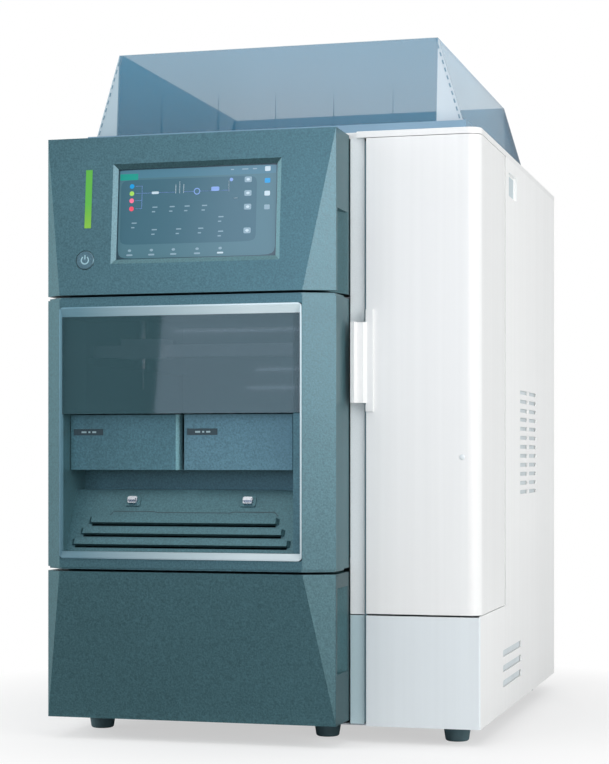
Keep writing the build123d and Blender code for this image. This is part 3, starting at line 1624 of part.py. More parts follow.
front_fold = guard_front_y + 1.1 * guard_thickness
rear_fold = guard_rear_y - 1.1 * guard_thickness
guard_parts = {
    "guard_front": ((-cabinet_width, cabinet_width), (guard_low_front - 1, front_fold)),
    "guard_rear": ((-cabinet_width, cabinet_width), (rear_fold, guard_low_rear + 1)),
    "guard_left": ((-cabinet_width, 0), (front_fold, rear_fold)),
    "guard_right": ((0, cabinet_width), (front_fold, rear_fold)),
}
for label, (zone_x, zone_y) in guard_parts.items():
    with BuildPart() as pane:
        add(guard_body(0))
        add(guard_body(guard_thickness), mode=Mode.SUBTRACT)
        block(zone_x, zone_y, (guard_base, guard_top_z), Mode.INTERSECT)
        if label == "guard_front":
            add(guard_ribs.part)
    finish(pane, label)
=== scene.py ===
# %% [markdown]
# # A bench liquid chromatograph
# The cabinet is a white sheet-metal box with a dark, faceted front block. A
# touch display and a light bar sit in its upper door, and a sampler with two
# drawers sits in the recess below. A clear guard round the top keeps solvent
# bottles in their tray. The solid parts come from the packed model, and this
# script gives them their finish and adds the thin things that lie on them.

import json
import math

import bpy
import numpy as np
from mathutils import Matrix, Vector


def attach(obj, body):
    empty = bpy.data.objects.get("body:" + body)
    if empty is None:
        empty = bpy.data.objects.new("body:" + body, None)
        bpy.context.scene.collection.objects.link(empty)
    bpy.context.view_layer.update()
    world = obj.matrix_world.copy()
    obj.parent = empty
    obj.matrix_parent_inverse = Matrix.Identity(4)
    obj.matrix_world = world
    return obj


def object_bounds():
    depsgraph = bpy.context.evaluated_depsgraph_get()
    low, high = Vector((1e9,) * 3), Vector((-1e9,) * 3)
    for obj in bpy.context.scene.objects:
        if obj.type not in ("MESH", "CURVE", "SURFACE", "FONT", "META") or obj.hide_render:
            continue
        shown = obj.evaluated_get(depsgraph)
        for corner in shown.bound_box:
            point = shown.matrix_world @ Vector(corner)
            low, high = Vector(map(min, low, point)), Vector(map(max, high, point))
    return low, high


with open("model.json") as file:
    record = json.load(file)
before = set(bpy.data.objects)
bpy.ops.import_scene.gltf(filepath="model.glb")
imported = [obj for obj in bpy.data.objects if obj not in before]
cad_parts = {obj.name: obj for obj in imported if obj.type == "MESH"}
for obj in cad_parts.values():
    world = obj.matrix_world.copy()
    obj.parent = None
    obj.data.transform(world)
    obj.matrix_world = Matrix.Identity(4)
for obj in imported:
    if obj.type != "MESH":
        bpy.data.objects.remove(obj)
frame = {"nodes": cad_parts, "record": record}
cad_low, cad_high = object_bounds()
nodes = frame["nodes"]
slots = {row["node"]: row["material_slot"] for row in frame["record"]["subparts"]}

# %% [markdown]
# ## Camera
# A long lens at the height of a bench looks a little to the left. Tilting it
# would make the upright edges lean together. So the lens stays level, and its
# frame is shifted until the whole cabinet is in view.

# %% Camera
PICTURE_LONG_SIDE = 764
FOCAL_PIXELS = 1948.0
SENSOR = 36.0
CAMERA_PLACE = (0.5174, -2.0092, 0.2672)
CAMERA_YAW = 15.08
FRAME_SHIFT = 0.101

camera_data = bpy.data.cameras.new("camera")
camera = bpy.data.objects.new("camera", camera_data)
bpy.context.scene.collection.objects.link(camera)
camera.location = CAMERA_PLACE
camera.rotation_euler = (math.pi / 2, 0.0, math.radians(CAMERA_YAW))
camera_data.sensor_width = SENSOR
camera_data.lens = FOCAL_PIXELS * SENSOR / PICTURE_LONG_SIDE
camera_data.shift_y = FRAME_SHIFT
bpy.context.scene.camera = camera
bpy.context.scene.view_settings.view_transform = "Standard"
print("lens", round(camera_data.lens, 1), "mm")

# %% [markdown]
# ## White surroundings
# The surroundings and the far floor are white, and extra light for that would
# bleach the object. So the white comes from the shaders: a Light Path node
# tells which kind of ray asks, and a Mix Shader answers the camera's rays with
# white and others with the lit shader. The surroundings also answer rays that
# come through a clear sheet with white.

# %% White for chosen rays
WHITE = (1.0, 1.0, 1.0, 1.0)


def math_node(tree, operation, first, second=None):
    """Result of a Math node on one or two values of a shader tree."""
    node = tree.nodes.new("ShaderNodeMath")
    node.operation = operation
    tree.links.new(first, node.inputs[0])
    if second is not None:
        tree.links.new(second, node.inputs[1])
    return node.outputs[0]


def show_white_to(tree, output, lit_node, kinds=("Is Camera Ray",), share_of_white=None):
    """Send white to the named kinds of ray, in full or by a share, and the lit shader to others."""
    rays = tree.nodes.new("ShaderNodeLightPath")
    share = rays.outputs[kinds[0]]
    for kind in kinds[1:]:
        share = math_node(tree, "MAXIMUM", share, rays.outputs[kind])
    if share_of_white is not None:
        share = math_node(tree, "MULTIPLY", share, share_of_white)
    glow = "ShaderNodeBackground" if lit_node.type == "BACKGROUND" else "ShaderNodeEmission"
    white = tree.nodes.new(glow)
    white.inputs["Color"].default_value = WHITE
    mix = tree.nodes.new("ShaderNodeMixShader")
    tree.links.new(share, mix.inputs["Fac"])
    tree.links.new(lit_node.outputs[0], mix.inputs[1])
    tree.links.new(white.outputs[0], mix.inputs[2])
    tree.links.new(mix.outputs[0], output.inputs["Surface"])


print("white for the camera's rays is ready")

# %% Surroundings
SKY_COLOUR = (0.97, 0.985, 1.0, 1.0)
SKY_STRENGTH = 0.5

world = bpy.data.worlds.new("studio")
world.use_nodes = True
bpy.context.scene.world = world
surround = world.node_tree.nodes["Background"]
surround.inputs["Color"].default_value = SKY_COLOUR
surround.inputs["Strength"].default_value = SKY_STRENGTH
show_white_to(
    world.node_tree,
    world.node_tree.nodes["World Output"],
    surround,
    ("Is Camera Ray", "Is Transmission Ray"),
)
print("surroundings at strength", SKY_STRENGTH)

# %% [markdown]
# ## Lamps
# A large soft lamp hangs above the front, and a wide one at the right lights
# the slanted facets and the white side. A cooler one at the left fills the
# shadows. The lamps stay modest, so a white panel keeps its tone. Area lamps
# suit this, because the larger a lamp is, the softer its shadows are.

# %% Lamps
def lamp(name, place, aim, size, watts, colour=(1.0, 1.0, 1.0)):
    """Rectangular soft lamp at a place, turned towards a point."""
    data = bpy.data.lights.new(name, "AREA")
    data.shape = "RECTANGLE"
    data.size, data.size_y = size
    data.energy = watts
    data.color = colour
    made = bpy.data.objects.new(name, data)
    bpy.context.scene.collection.objects.link(made)
    made.location = place
    toward = np.array(aim, float) - np.array(place, float)
    yaw = math.atan2(toward[1], toward[0]) - math.pi / 2
    pitch = math.atan2(toward[2], math.hypot(toward[0], toward[1]))
    made.rotation_euler = (math.pi / 2 + pitch, 0.0, yaw)


middle = (cad_low + cad_high) / 2
COOL = (0.92, 0.97, 1.0)
lamp("top_lamp", (0.1, -1.0, 2.6), middle, size=(2.6, 1.8), watts=24)
lamp("right_lamp", (2.6, -1.6, 1.0), middle, size=(1.2, 1.8), watts=42)
lamp("left_lamp", (-2.4, -0.9, 1.0), middle, size=(1.2, 1.6), watts=26, colour=COOL)
print(len(bpy.data.lights), "lamps aimed at", np.round(middle, 3))

# %% Floor
FLOOR_SIDE = 12

bpy.ops.mesh.primitive_plane_add(size=FLOOR_SIDE, location=(0, 0, 0))
floor = bpy.context.object
floor.name = "floor"
print("floor,", FLOOR_SIDE, "m a side")

# %% [markdown]
# ## Cards for the reflections
# What a glossy thing mirrors is chosen with cards that stand round it. A pale
# card stands in front, another at the right for the slanted facets, a black
# one at the left, and a black one lies on the floor. The window mirrors the
# pale card's slanted edge and three thin bright cards, and the low door
# mirrors the dark. Only glossy rays meet the cards, so they cast no shadow.

# %% A card
def card(name, corners, strength=0.0, colour=(0.68, 0.77, 0.97, 1.0)):
    """Four-cornered card that glows evenly and is seen only in reflections."""
    mesh = bpy.data.meshes.new(name)
    mesh.from_pydata(corners, [], [(0, 1, 2, 3)])
    made = bpy.data.objects.new(name, mesh)
    bpy.context.scene.collection.objects.link(made)
    made.visible_camera = False
    made.visible_diffuse = False
    made.visible_shadow = False
    made.visible_transmission = False
    made.visible_volume_scatter = False
    paint = bpy.data.materials.new(name)
    paint.use_nodes = True
    shader = paint.node_tree.nodes["Principled BSDF"]
    shader.inputs["Base Color"].default_value = (0.0, 0.0, 0.0, 1.0)
    shader.inputs["Emission Color"].default_value = colour
    shader.inputs["Emission Strength"].default_value = strength
    made.data.materials.append(paint)


def upright_card(name, y, low_x, high_x, z, strength=0.0, **more):
    """Card across y; low_x and high_x are its left and right at its foot and top."""
    corners = [
        (low_x[0], y, z[0]),
        (low_x[1], y, z[0]),
        (high_x[1], y, z[1]),
        (high_x[0], y, z[1]),
    ]
    card(name, corners, strength, **more)


print("cards are seen only by glossy rays")

# %% Cards
CARD_Y = -2.2
CARD_Z = (0.26, 1.5)
SLANT_LOW, SLANT_HIGH = -0.781, -0.67
FAR_LEFT, PALE_RIGHT = -2.4, 0.45
SIDE_X, SIDE_Y, SIDE_Z = (0.7, 1.6), -1.9, (0.35, 1.9)
WARM = (1.0, 0.78, 0.82, 1.0)

pale_low, pale_high = (SLANT_LOW, PALE_RIGHT), (SLANT_HIGH, PALE_RIGHT)
upright_card("pale_card", CARD_Y, pale_low, pale_high, CARD_Z, strength=3.05)
upright_card("side_card", SIDE_Y, SIDE_X, SIDE_X, SIDE_Z, strength=6.6, colour=WARM)
dark_low, dark_high = (FAR_LEFT, SLANT_LOW), (FAR_LEFT, SLANT_HIGH)
upright_card("dark_card", CARD_Y - 0.02, dark_low, dark_high, (0.0, CARD_Z[1]))
print("three upright cards, the pale one from", SLANT_LOW, "m to", PALE_RIGHT, "m")

# %% Floor card and line cards
NEAR, FAR, FLOOR_RIGHT, FLOOR_LIFT = -0.3, -2.3, 0.4, 0.004
LINE_RIGHT, LINE_TALL, LINE_STRENGTH = -0.455, 0.004, 7.0
LINES = ((-0.73, 0.5166), (-0.56, 0.4395), (-0.58, 0.404))

floor_card = [(FAR_LEFT, FAR), (FLOOR_RIGHT, FAR), (FLOOR_RIGHT, NEAR), (FAR_LEFT, NEAR)]
card("floor_card", [(x, y, FLOOR_LIFT) for x, y in floor_card])
for row, (x_left, z) in enumerate(LINES):
    ends = (x_left, LINE_RIGHT)
    upright_card(f"line_card_{row}", CARD_Y + 0.01, ends, ends, (z, z + LINE_TALL), LINE_STRENGTH)
print("four large cards and", len(LINES), "thin ones")

# %% [markdown]
# ## How a finish is made
# Each finish is one Principled shader. Its colour is never quite even: a noise
# on Object coordinates, which are the part's own metres, lightens and darkens
# it, and another noise makes the tiny bumps of paint, grain or brushing.
# Stretching the noise along one axis turns specks into streaks.

# %% Colours
def linear(red, green, blue):
    """Screen values 0 to 255 as linear light.

    With s the share of 255, light is ((s + 0.055) / 1.055) ** 2.4, and near
    black it is s / 12.92.
    """
    shares = np.array([red, green, blue]) / 255.0
    light = np.where(shares <= 0.04045, shares / 12.92, ((shares + 0.055) / 1.055) ** 2.4)
    return (*light.tolist(), 1.0)


print("middle grey is", round(linear(128, 128, 128)[0], 3), "as linear light")

# %% One finish
class Finish:
    """One material: a Principled shader and the textures that feed it."""

    def __init__(self, name, colour, metallic=0.0, roughness=0.5):
        self.material = bpy.data.materials.new(name)
        self.material.use_nodes = True
        self.tree = self.material.node_tree
        self.shader = self.tree.nodes["Principled BSDF"]
        self.colour = colour
        self.set("Base Color", colour)
        self.set("Metallic", metallic)
        self.set("Roughness", roughness)
        self.place = self.tree.nodes.new("ShaderNodeTexCoord").outputs["Object"]

    def set(self, socket, value):
        """Give one of the shader's sockets a plain value."""
        self.shader.inputs[socket].default_value = value
        return self

    def noise(self, scale, stretch=(1.0, 1.0, 1.0), detail=2.0):
        """Noise whose specks are 1/scale metres, shrunk along each axis by stretch."""
        mapping = self.tree.nodes.new("ShaderNodeMapping")
        mapping.inputs["Scale"].default_value = stretch
        self.tree.links.new(self.place, mapping.inputs["Vector"])
        texture = self.tree.nodes.new("ShaderNodeTexNoise")
        texture.inputs["Scale"].default_value = scale
        texture.inputs["Detail"].default_value = detail
        self.tree.links.new(mapping.outputs[0], texture.inputs["Vector"])
        return texture.outputs["Fac"]

    def spread(self, value, low, high, start=0.3, stop=0.7):
        """Carry a 0 to 1 value onto a range from low to high."""
        node = self.tree.nodes.new("ShaderNodeMapRange")
        node.inputs["From Min"].default_value = start
        node.inputs["From Max"].default_value = stop
        node.inputs["To Min"].default_value = low
        node.inputs["To Max"].default_value = high
        self.tree.links.new(value, node.inputs["Value"])
        return node.outputs["Result"]

    def axis(self, letter):
        """One of the part's own coordinates, X, Y or Z, in metres."""
        split = self.tree.nodes.new("ShaderNodeSeparateXYZ")
        self.tree.links.new(self.place, split.inputs[0])
        return split.outputs[letter]

    def mix_into_colour(self, kind):
        """Mix node that takes the colour so far as its first and gives the new colour."""
        mix = self.tree.nodes.new("ShaderNodeMix")
        mix.data_type = "RGBA"
        mix.blend_type = kind
        base = self.shader.inputs["Base Color"]
        if base.is_linked:
            self.tree.links.new(base.links[0].from_socket, mix.inputs[6])
        else:
            mix.inputs[6].default_value = self.colour
        self.tree.links.new(mix.outputs[2], base)
        return mix

    def shade(self, value, low, high, start=0.3, stop=0.7):
        """Multiply the colour by a value carried onto low to high."""
        mix = self.mix_into_colour("MULTIPLY")
        mix.inputs["Factor"].default_value = 1.0
        self.tree.links.new(self.spread(value, low, high, start, stop), mix.inputs[7])
        return self

    def blend(self, value, other, start, stop):
        """Turn the colour into another as a value runs from start to stop."""
        mix = self.mix_into_colour("MIX")
        mix.inputs[7].default_value = other
        self.tree.links.new(self.spread(value, 0.0, 1.0, start, stop), mix.inputs["Factor"])
        return self

    def roughen(self, value, low, high):
        """Let the roughness wander between low and high."""
        self.tree.links.new(self.spread(value, low, high), self.shader.inputs["Roughness"])
        return self

    def bump(self, value, depth, strength=0.3):
        """Raise and lower the surface by up to depth metres."""
        node = self.tree.nodes.new("ShaderNodeBump")
        node.inputs["Strength"].default_value = strength
        node.inputs["Distance"].default_value = depth
        self.tree.links.new(value, node.inputs["Height"])
        self.tree.links.new(node.outputs["Normal"], self.shader.inputs["Normal"])
        return self


print("a finish can", ", ".join(word for word in vars(Finish) if not word.startswith("_")))

# %% Dress an object
def dress(object_, finish):
    """Give an object one finish."""
    object_.data.materials.clear()
    object_.data.materials.append(finish.material)


print("objects can be dressed")

# %% [markdown]
# ## Finish of the floor
# Near the cabinet the floor is a plain grey that keeps the shadow. Further out
# it turns to the white of the surroundings, by its distance from the middle,
# so no horizon shows.

# %% Floor finish
FLOOR_WHITE_FROM = 0.27
FLOOR_WHITE_TO = 0.54
FLOOR_WHITE_LEAST = 0.55

floor_finish = Finish("studio_floor", (0.8, 0.8, 0.8, 1.0), roughness=0.8)
floor_finish.shade(floor_finish.noise(3.0), 0.98, 1.0)
distance = floor_finish.tree.nodes.new("ShaderNodeVectorMath")
distance.operation = "LENGTH"
floor_finish.tree.links.new(floor_finish.place, distance.inputs[0])
far_share = floor_finish.spread(
    distance.outputs["Value"], FLOOR_WHITE_LEAST, 1.0, FLOOR_WHITE_FROM, FLOOR_WHITE_TO
)
show_white_to(
    floor_finish.tree,
    floor_finish.tree.nodes["Material Output"],
    floor_finish.shader,
    share_of_white=far_share,
)
dress(floor, floor_finish)
print("floor turns white from", FLOOR_WHITE_FROM, "m to", FLOOR_WHITE_TO, "m")

# %% [markdown]
# ## Dark front paint
# The front mouldings carry a metallic blue-grey paint with a fine grain. Tiny
# flakes catch the light one by one, so the paint is partly metallic, its
# brightness is speckled, and its bumps are one or two millimetres across. One
# noise drives all three, so that a bright fleck is also a bump.

# %% Dark paint
FLAKES = 620.0
finishes = {}


def dark_paint(name, colour):
    """Metallic paint: flake specks in the colour, the gloss and the surface."""
    made = Finish(name, colour, metallic=0.5, roughness=0.38)
    flakes = made.noise(FLAKES, detail=2.0)
    made.shade(flakes, 0.8, 1.2)
    made.shade(made.noise(14.0, detail=3.0), 0.97, 1.03)
    made.roughen(flakes, 0.32, 0.44)
    made.bump(flakes, 0.0003, 0.35)
    return made


finishes["dark_panel"] = dark_paint("dark_front_paint", linear(73, 110, 117))
finishes["button_dark"] = dark_paint("button_paint", linear(84, 116, 126))
print("dark paint on slots", list(finishes))

# %% [markdown]
# ## White paint
# The sheet metal has a cool white coat. Roller marks leave faint upright
# streaks, which a noise stretched along Z repeats, and a satin gloss shows
# where a corner turns. An image of streaks would need a UV map on every panel,
# and a noise needs none.

# %% White paint
STREAK_STRETCH = 0.012


def white_paint(name, colour):
    """Satin paint with faint upright streaks."""
    made = Finish(name, colour, roughness=0.38)
    streaks = made.noise(130.0, stretch=(1.0, 1.0, STREAK_STRETCH), detail=3.0)
    made.shade(streaks, 0.975, 1.015)
    made.bump(made.noise(900.0, detail=1.0), 0.0001, 0.2)
    return made


finishes["white_panel"] = white_paint("white_coat", linear(237, 238, 237))
print("white paint, with streaks stretched", round(1 / STREAK_STRETCH), "times")

# %% [markdown]
# ## Satin metals
# The trim, the bezel and the machined parts inside are metal. Brushing is a
# noise stretched along one axis, which changes the roughness, the tone and
# tiny bumps. The trim is drawn as a pale satin coat rather than as bare metal,
# because it stays pale whatever stands round it, and its lower strip is a
# darker copy, which is painted shade. The bezel carries painted light: a
# painted sheen runs from a dark left to a bright right, and painted shade
# runs from dark below to bright above.

# %% Metals
def brushed(name, colour, roughness, along, metallic=1.0):
    """Metal with brush lines along one axis."""
    made = Finish(name, colour, metallic=metallic, roughness=roughness)
    lines = made.noise(1600.0, stretch=along, detail=2.0)
    made.roughen(lines, roughness - 0.06, roughness + 0.08)
    made.shade(lines, 0.95, 1.05)
    made.bump(lines, 0.00008, 0.25)
    return made


EVEN = (1.0, 1.0, 1.0)
SIDEWAYS = (0.02, 1.0, 1.0)
LENGTHWAYS = (1.0, 0.1, 1.0)
finishes["bright_trim"] = brushed("satin_trim", linear(241, 245, 246), 0.42, EVEN, metallic=0.0)
# Painted shade: the lower trim strip is a darker copy of the satin trim.
low_trim_painted_shade = brushed("low_trim_painted_shade", linear(188, 211, 217), 0.42, EVEN, metallic=0.0)
bezel_metal = brushed("bezel_metal", linear(98, 136, 150), 0.4, SIDEWAYS, metallic=0.1)
# Painted sheen: the bezel's colour brightens from left to right. Painted shade: it darkens from top to
# bottom.
bezel_metal.blend(bezel_metal.axis("X"), linear(200, 216, 221), start=-0.17, stop=0.0)
bezel_metal.shade(bezel_metal.axis("Z"), 0.82, 1.22, start=0.17, stop=0.41)
finishes["machined_steel"] = brushed("turned_steel", linear(190, 195, 200), 0.26, LENGTHWAYS)
finishes["machined_aluminium"] = brushed("milled_aluminium", linear(205, 208, 212), 0.36, SIDEWAYS)
print("bezel bright from x = -0.17 to 0, trim even")

# %% [markdown]
# ## Clear and smoked sheet
# The guard is blue-tinted sheet, and the sampler window is smoked. A refracting
# glass shader would bend and darken what lies behind such thin sheets. Alpha
# lets a share of the light straight through instead, which keeps the view
# behind them sharp, and the glossy skin still adds reflections.

# %% Clear and smoked sheet
def tinted_sheet(name, colour, cover, roughness):
    """Sheet that hides a share, cover, of what lies behind each of its skins."""
    made = Finish(name, colour, roughness=roughness)
    made.set("Alpha", cover)
    made.shade(made.noise(9.0, detail=1.0), 0.97, 1.03)
    return made


print("a sheet hides a share of what lies behind it")

# %% The guard's sheets
GUARD_EDGE = 0.16
GUARD_FOOT, GUARD_TOP = 0.5785, 0.666
GUSSET_BLUR = 0.0005


def guard_sheet(name, colour, cover, gusset_share=0.0, gusset_colour=None):
    """Tinted sheet, darker at its foot by painted shade; beyond GUARD_EDGE its gussets have their own
    colour and cover, which paint how light falls on the folds.
    """
    made = tinted_sheet(name, colour, cover, 0.12)
    made.set("Specular IOR Level", 0.3)
    # Painted shade: each guard sheet darkens towards its foot.
    made.shade(made.axis("Z"), 0.7, 1.0, GUARD_FOOT, GUARD_TOP)
    if gusset_share:
        aside = math_node(made.tree, "ABSOLUTE", made.axis("X"))
        bounds = (GUARD_EDGE - GUSSET_BLUR, GUARD_EDGE + GUSSET_BLUR)
        made.blend(aside, gusset_colour, *bounds)
        alpha = made.spread(aside, cover, gusset_share, *bounds)
        made.tree.links.new(alpha, made.shader.inputs["Alpha"])
    return made


# Painted light on the folds: the front gussets are a paler, clearer copy of the sheet, a painted
# highlight, and the rear gussets a deeper copy, painted shade.
GUSSET_HIGHLIGHT, GUSSET_SHADE = linear(190, 211, 222), linear(20, 74, 112)
finishes["clear_guard"] = guard_sheet("guard_sheet", linear(76, 140, 168), cover=0.44)
front_guard = guard_sheet("front_guard", linear(52, 134, 168), 0.5, 0.75, GUSSET_HIGHLIGHT)
# Painted light: the right sheet is a lighter copy of the guard sheet, and painted shade darkens it
# towards the rear.
side_guard = guard_sheet("side_guard", linear(112, 184, 218), cover=0.42)
side_guard.shade(side_guard.axis("Y"), 1.05, 0.75, start=-0.05, stop=0.2)
rear_guard = guard_sheet("rear_guard", linear(60, 126, 158), 0.52, 0.8, GUSSET_SHADE)
rear_guard.set("Specular IOR Level", 0.12)
finishes["smoked_glass"] = tinted_sheet("smoked_window", linear(66, 97, 105), cover=0.6, roughness=0.03)
print("three guard sheets, a plain one and the smoked window")

# %% [markdown]
# ## Plastics, rubber and sheet steel
# What is left is moulded plastic with a fine spark grain, soft black rubber,
# grey-coated steel, and the green board. They differ only in tone, gloss and
# the size of their grain, so one function makes them all.

# %% Plastics, rubber and steel
def moulded(name, colour, roughness, grain=2200.0, depth=0.00008, metallic=0.0):
    """Grained surface: one fine noise in the bumps and a slow one in the colour."""
    made = Finish(name, colour, metallic=metallic, roughness=roughness)
    made.bump(made.noise(grain, detail=1.0), depth, 0.4)
    made.shade(made.noise(25.0), 0.95, 1.05)
    return made


finishes["display_black"] = moulded("display_housing", linear(58, 84, 96), 0.12, depth=0.00001)
finishes["dark_moulding"] = moulded("black_moulding", linear(48, 70, 78), 0.5, grain=900.0, depth=0.00003)
finishes["rubber_black"] = moulded("foot_rubber", linear(70, 97, 103), 0.75, grain=900.0)
finishes["sheet_steel"] = moulded("grey_coat", linear(165, 172, 176), 0.42, metallic=0.4)
finishes["unit_grey"] = moulded("unit_coat", linear(178, 184, 188), 0.45, metallic=0.3)
finishes["circuit_green"] = moulded("board_green", linear(38, 98, 62), 0.35)
print(len(finishes), "slots so far")

# %% [markdown]
# ## Light bar
# The status bar glows green, a little more yellow below than above. Emission
# is kept low, so the bar looks lit and still takes the studio's shade.

# %% Light bar
status = moulded("status_light", linear(140, 180, 52), 0.3)
status.blend(status.axis("Z"), linear(74, 160, 60), start=0.47, stop=0.51)
status.set("Emission Color", linear(118, 178, 54)).set("Emission Strength", 0.2)
finishes["status_green"] = status
print(len(finishes), "slots have a finish")

# %% [markdown]
# ## Finishes of single pieces
# A slot's finish serves all nodes of that slot. A few nodes take their own,
# and most of these carry painted light: painted shade darkens the low door past
# its edge at the right and the side panel towards the floor, the side panel is
# a lighter copy of the white coat, the drawers are lighter copies of the dark
# paint that differ a little, the lower trim strip is a darker copy of the trim,
# and the guard has a sheet for each side with its own painted light and shade.
# They are kept in one table, so the slots stay simple.

# %% Finishes of single pieces
# Painted shade: the low door's right face darkens past x = 0.0785.
low_front = dark_paint("low_front_paint", linear(72, 109, 115))
low_front.shade(low_front.axis("X"), 1.0, 0.6, start=0.0785, stop=0.0792)
# Painted light: the side panel is a lighter copy of the white coat, and painted shade darkens it towards
# the floor.
painted_light_side_coat = white_paint("painted_light_side_coat", linear(246, 247, 246))
painted_light_side_coat.shade(painted_light_side_coat.axis("Z"), 0.87, 1.0, start=0.02, stop=0.2)
own_finishes = {
    "lower_door": low_front,
    "sampler_bezel": bezel_metal,
    "trim_strip_lower": low_trim_painted_shade,
    # Painted light: both drawers are lighter copies of the dark paint against the shade under the bezel,
    # and the right one is lighter still, a painted sheen.
    "left_drawer": dark_paint("left_drawer_paint", linear(80, 120, 128)),
    "right_drawer": dark_paint("right_drawer_paint", linear(90, 128, 138)),
    "guard_front": front_guard,
    "guard_rear": rear_guard,
    "guard_right": side_guard,
    "right_side_panel": painted_light_side_coat,
    "reservoir_tray": moulded("tray_coat", linear(122, 156, 178), 0.4),
    "lower_right_panel": white_paint("lower_panel_coat", linear(222, 229, 232)),
}
print(len(own_finishes), "nodes have a finish of their own")

# %% Dress every node
for name, node in nodes.items():
    dress(node, own_finishes.get(name, finishes[slots[name]]))
print(len(finishes), "finishes on", len(nodes), "nodes")

# %% [markdown]
# ## Faces to lay things on
# The screen picture, the button's sign and the slope's seam lie on flat faces
# of the solids. A face could be given by numbers copied from the model, but
# then it would be wrong after the next change. So it is found: the triangles
# that look one way are sorted by their plane, and the plane with the most area
# is taken. Its own right and up directions carry flat coordinates onto it.

# %% Corners and triangles of a solid
def corners_of(node):
    """Corners of a node's mesh, as rows of x, y and z."""
    mesh = nodes[node].data
    corners = np.empty(len(mesh.vertices) * 3)
    mesh.vertices.foreach_get("co", corners)
    return corners.reshape(-1, 3)


def triangles_of(node):
    """Triangles of a node's mesh, as an array of triangles by corners by 3."""
    mesh = nodes[node].data
    mesh.calc_loop_triangles()
    index = np.empty(len(mesh.loop_triangles) * 3, int)
    mesh.loop_triangles.foreach_get("vertices", index)
    return corners_of(node)[index.reshape(-1, 3)]


print(len(triangles_of("touch_display")), "triangles on the display")

# %% Flat faces of the solids
SPECK_AREA = 1e-9
SAME_WAY = 0.85
NORMAL_STEPS = 50
DISTANCE_STEPS = 4000


def axes(out):
    """Directions of a face, each of length one: out, right = z x out, up = out x right."""
    out = np.array(out, float) / np.linalg.norm(out)
    right = np.cross((0.0, 0.0, 1.0), out)
    right /= np.linalg.norm(right)
    return {"out": out, "right": right, "up": np.cross(out, right)}


def flat_face(node, towards):
    """Largest plane of a node that looks towards a direction.

    Each triangle's plane is its normal and its distance from the origin. Areas
    are added up per rounded plane, and the triangles of the largest give the
    middle, directions and size of the face.
    """
    triangles = triangles_of(node)
    cross = np.cross(triangles[:, 1] - triangles[:, 0], triangles[:, 2] - triangles[:, 0])
    area = np.linalg.norm(cross, axis=1) / 2
    keep = area > SPECK_AREA
    triangles, cross, area = triangles[keep], cross[keep], area[keep]
    normal = cross / (2 * area[:, None])
    looking = normal @ np.array(towards, float) > SAME_WAY
    triangles, normal, area = triangles[looking], normal[looking], area[looking]
    distance = np.einsum("ij,ij->i", normal, triangles[:, 0])
    planes = np.column_stack([normal * NORMAL_STEPS, distance * DISTANCE_STEPS])
    member = np.unique(np.round(planes).astype(int), axis=0, return_inverse=True)[1].ravel()
    chosen = np.bincount(member, area).argmax() == member
    face = axes(np.average(normal[chosen], axis=0, weights=area[chosen]))
    points = triangles[chosen].reshape(-1, 3)
    flat = np.column_stack([points @ face["right"], points @ face["up"]])
    low, high = flat.min(0), flat.max(0)
    half = (low + high) / 2
    centre = face["right"] * half[0] + face["up"] * half[1] + face["out"] * (points[0] @ face["out"])
    return {**face, "centre": centre, "size": high - low}


FRONT = (0.0, -1.0, 0.0)
screen = flat_face("touch_display", FRONT)
print("screen", np.round(screen["size"] * 1000, 1), "mm")

# %% Other faces
def foremost(node, face):
    """The same face, moved out along its own direction to the node's last corner."""
    reach = (corners_of(node) @ face["out"]).max()
    return {**face, "centre": face["centre"] + face["out"] * (reach - face["centre"] @ face["out"])}


def upright(centre, out=FRONT):
    """Face with a chosen middle that looks along out and stands upright."""
    return {"centre": np.array(centre, float), **axes(out)}


def on_face(face, flat, lift):
    """Carry flat coordinates in metres onto a face, lifted off it."""
    flat = np.asarray(flat, float)
    lift = np.broadcast_to(lift, flat.shape[:-1])
    return (
        face["centre"]
        + flat[..., :1] * face["right"]
        + flat[..., 1:2] * face["up"]
        + lift[..., None] * face["out"]
    )


print("the screen's corner is at", np.round(on_face(screen, screen["size"] / 2, 0.0), 4))

# %% A new piece
def piece(name, points, faces, finish, body):
    """Mesh object from arrays, dressed, riding on a body."""
    mesh = bpy.data.meshes.new(name)
    mesh.from_pydata(np.reshape(points, (-1, 3)).tolist(), [], faces)
    mesh.update()
    made = bpy.data.objects.new(name, mesh)
    bpy.context.scene.collection.objects.link(made)
    dress(made, finish)
    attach(made, body)
    return made


# %% [markdown]
# ## Screen picture
# The touch display shows a plain flow scheme: four solvent bottles, a pump, a
# mixer, a column and a detector, with icon rows and bars where a real one has
# words. An image would be blurred from close by, so every sign is a small
# rounded plate a few hundredths of a millimetre above the glass. Its outline
# is a superellipse: x = a cos t and y = b sin t, each raised to a power below
# one, which squares the circle's corners.

# %% Outlines of the signs
SIGN_POINTS = 20


def sign_outlines(signs):
    """Outlines of many signs at once, as an array of signs by points by 2.

    Each row of signs is middle x, middle y, width, height, power, turn: the
    point at angle t is (w/2 |cos t|^p, h/2 |sin t|^p) with the signs of cos
    and sin, turned and moved to the middle.
    """
    x, y, width, height, power, turn = np.array(signs, float).T[:, :, None]
    t = np.linspace(0, 2 * np.pi, SIGN_POINTS, endpoint=False) + np.pi / SIGN_POINTS
    along = width / 2 * np.sign(np.cos(t)) * np.abs(np.cos(t)) ** power
    across = height / 2 * np.sign(np.sin(t)) * np.abs(np.sin(t)) ** power
    cos, sin = np.cos(turn), np.sin(turn)
    return np.stack([x + along * cos - across * sin, y + along * sin + across * cos], axis=-1)


print(SIGN_POINTS, "points round each sign")

# %% Notes for the signs
ROUND, SQUARED, BAR = 1.0, 0.35, 0.12
width, height = screen["size"]
signs, tones, layers = [], [], []


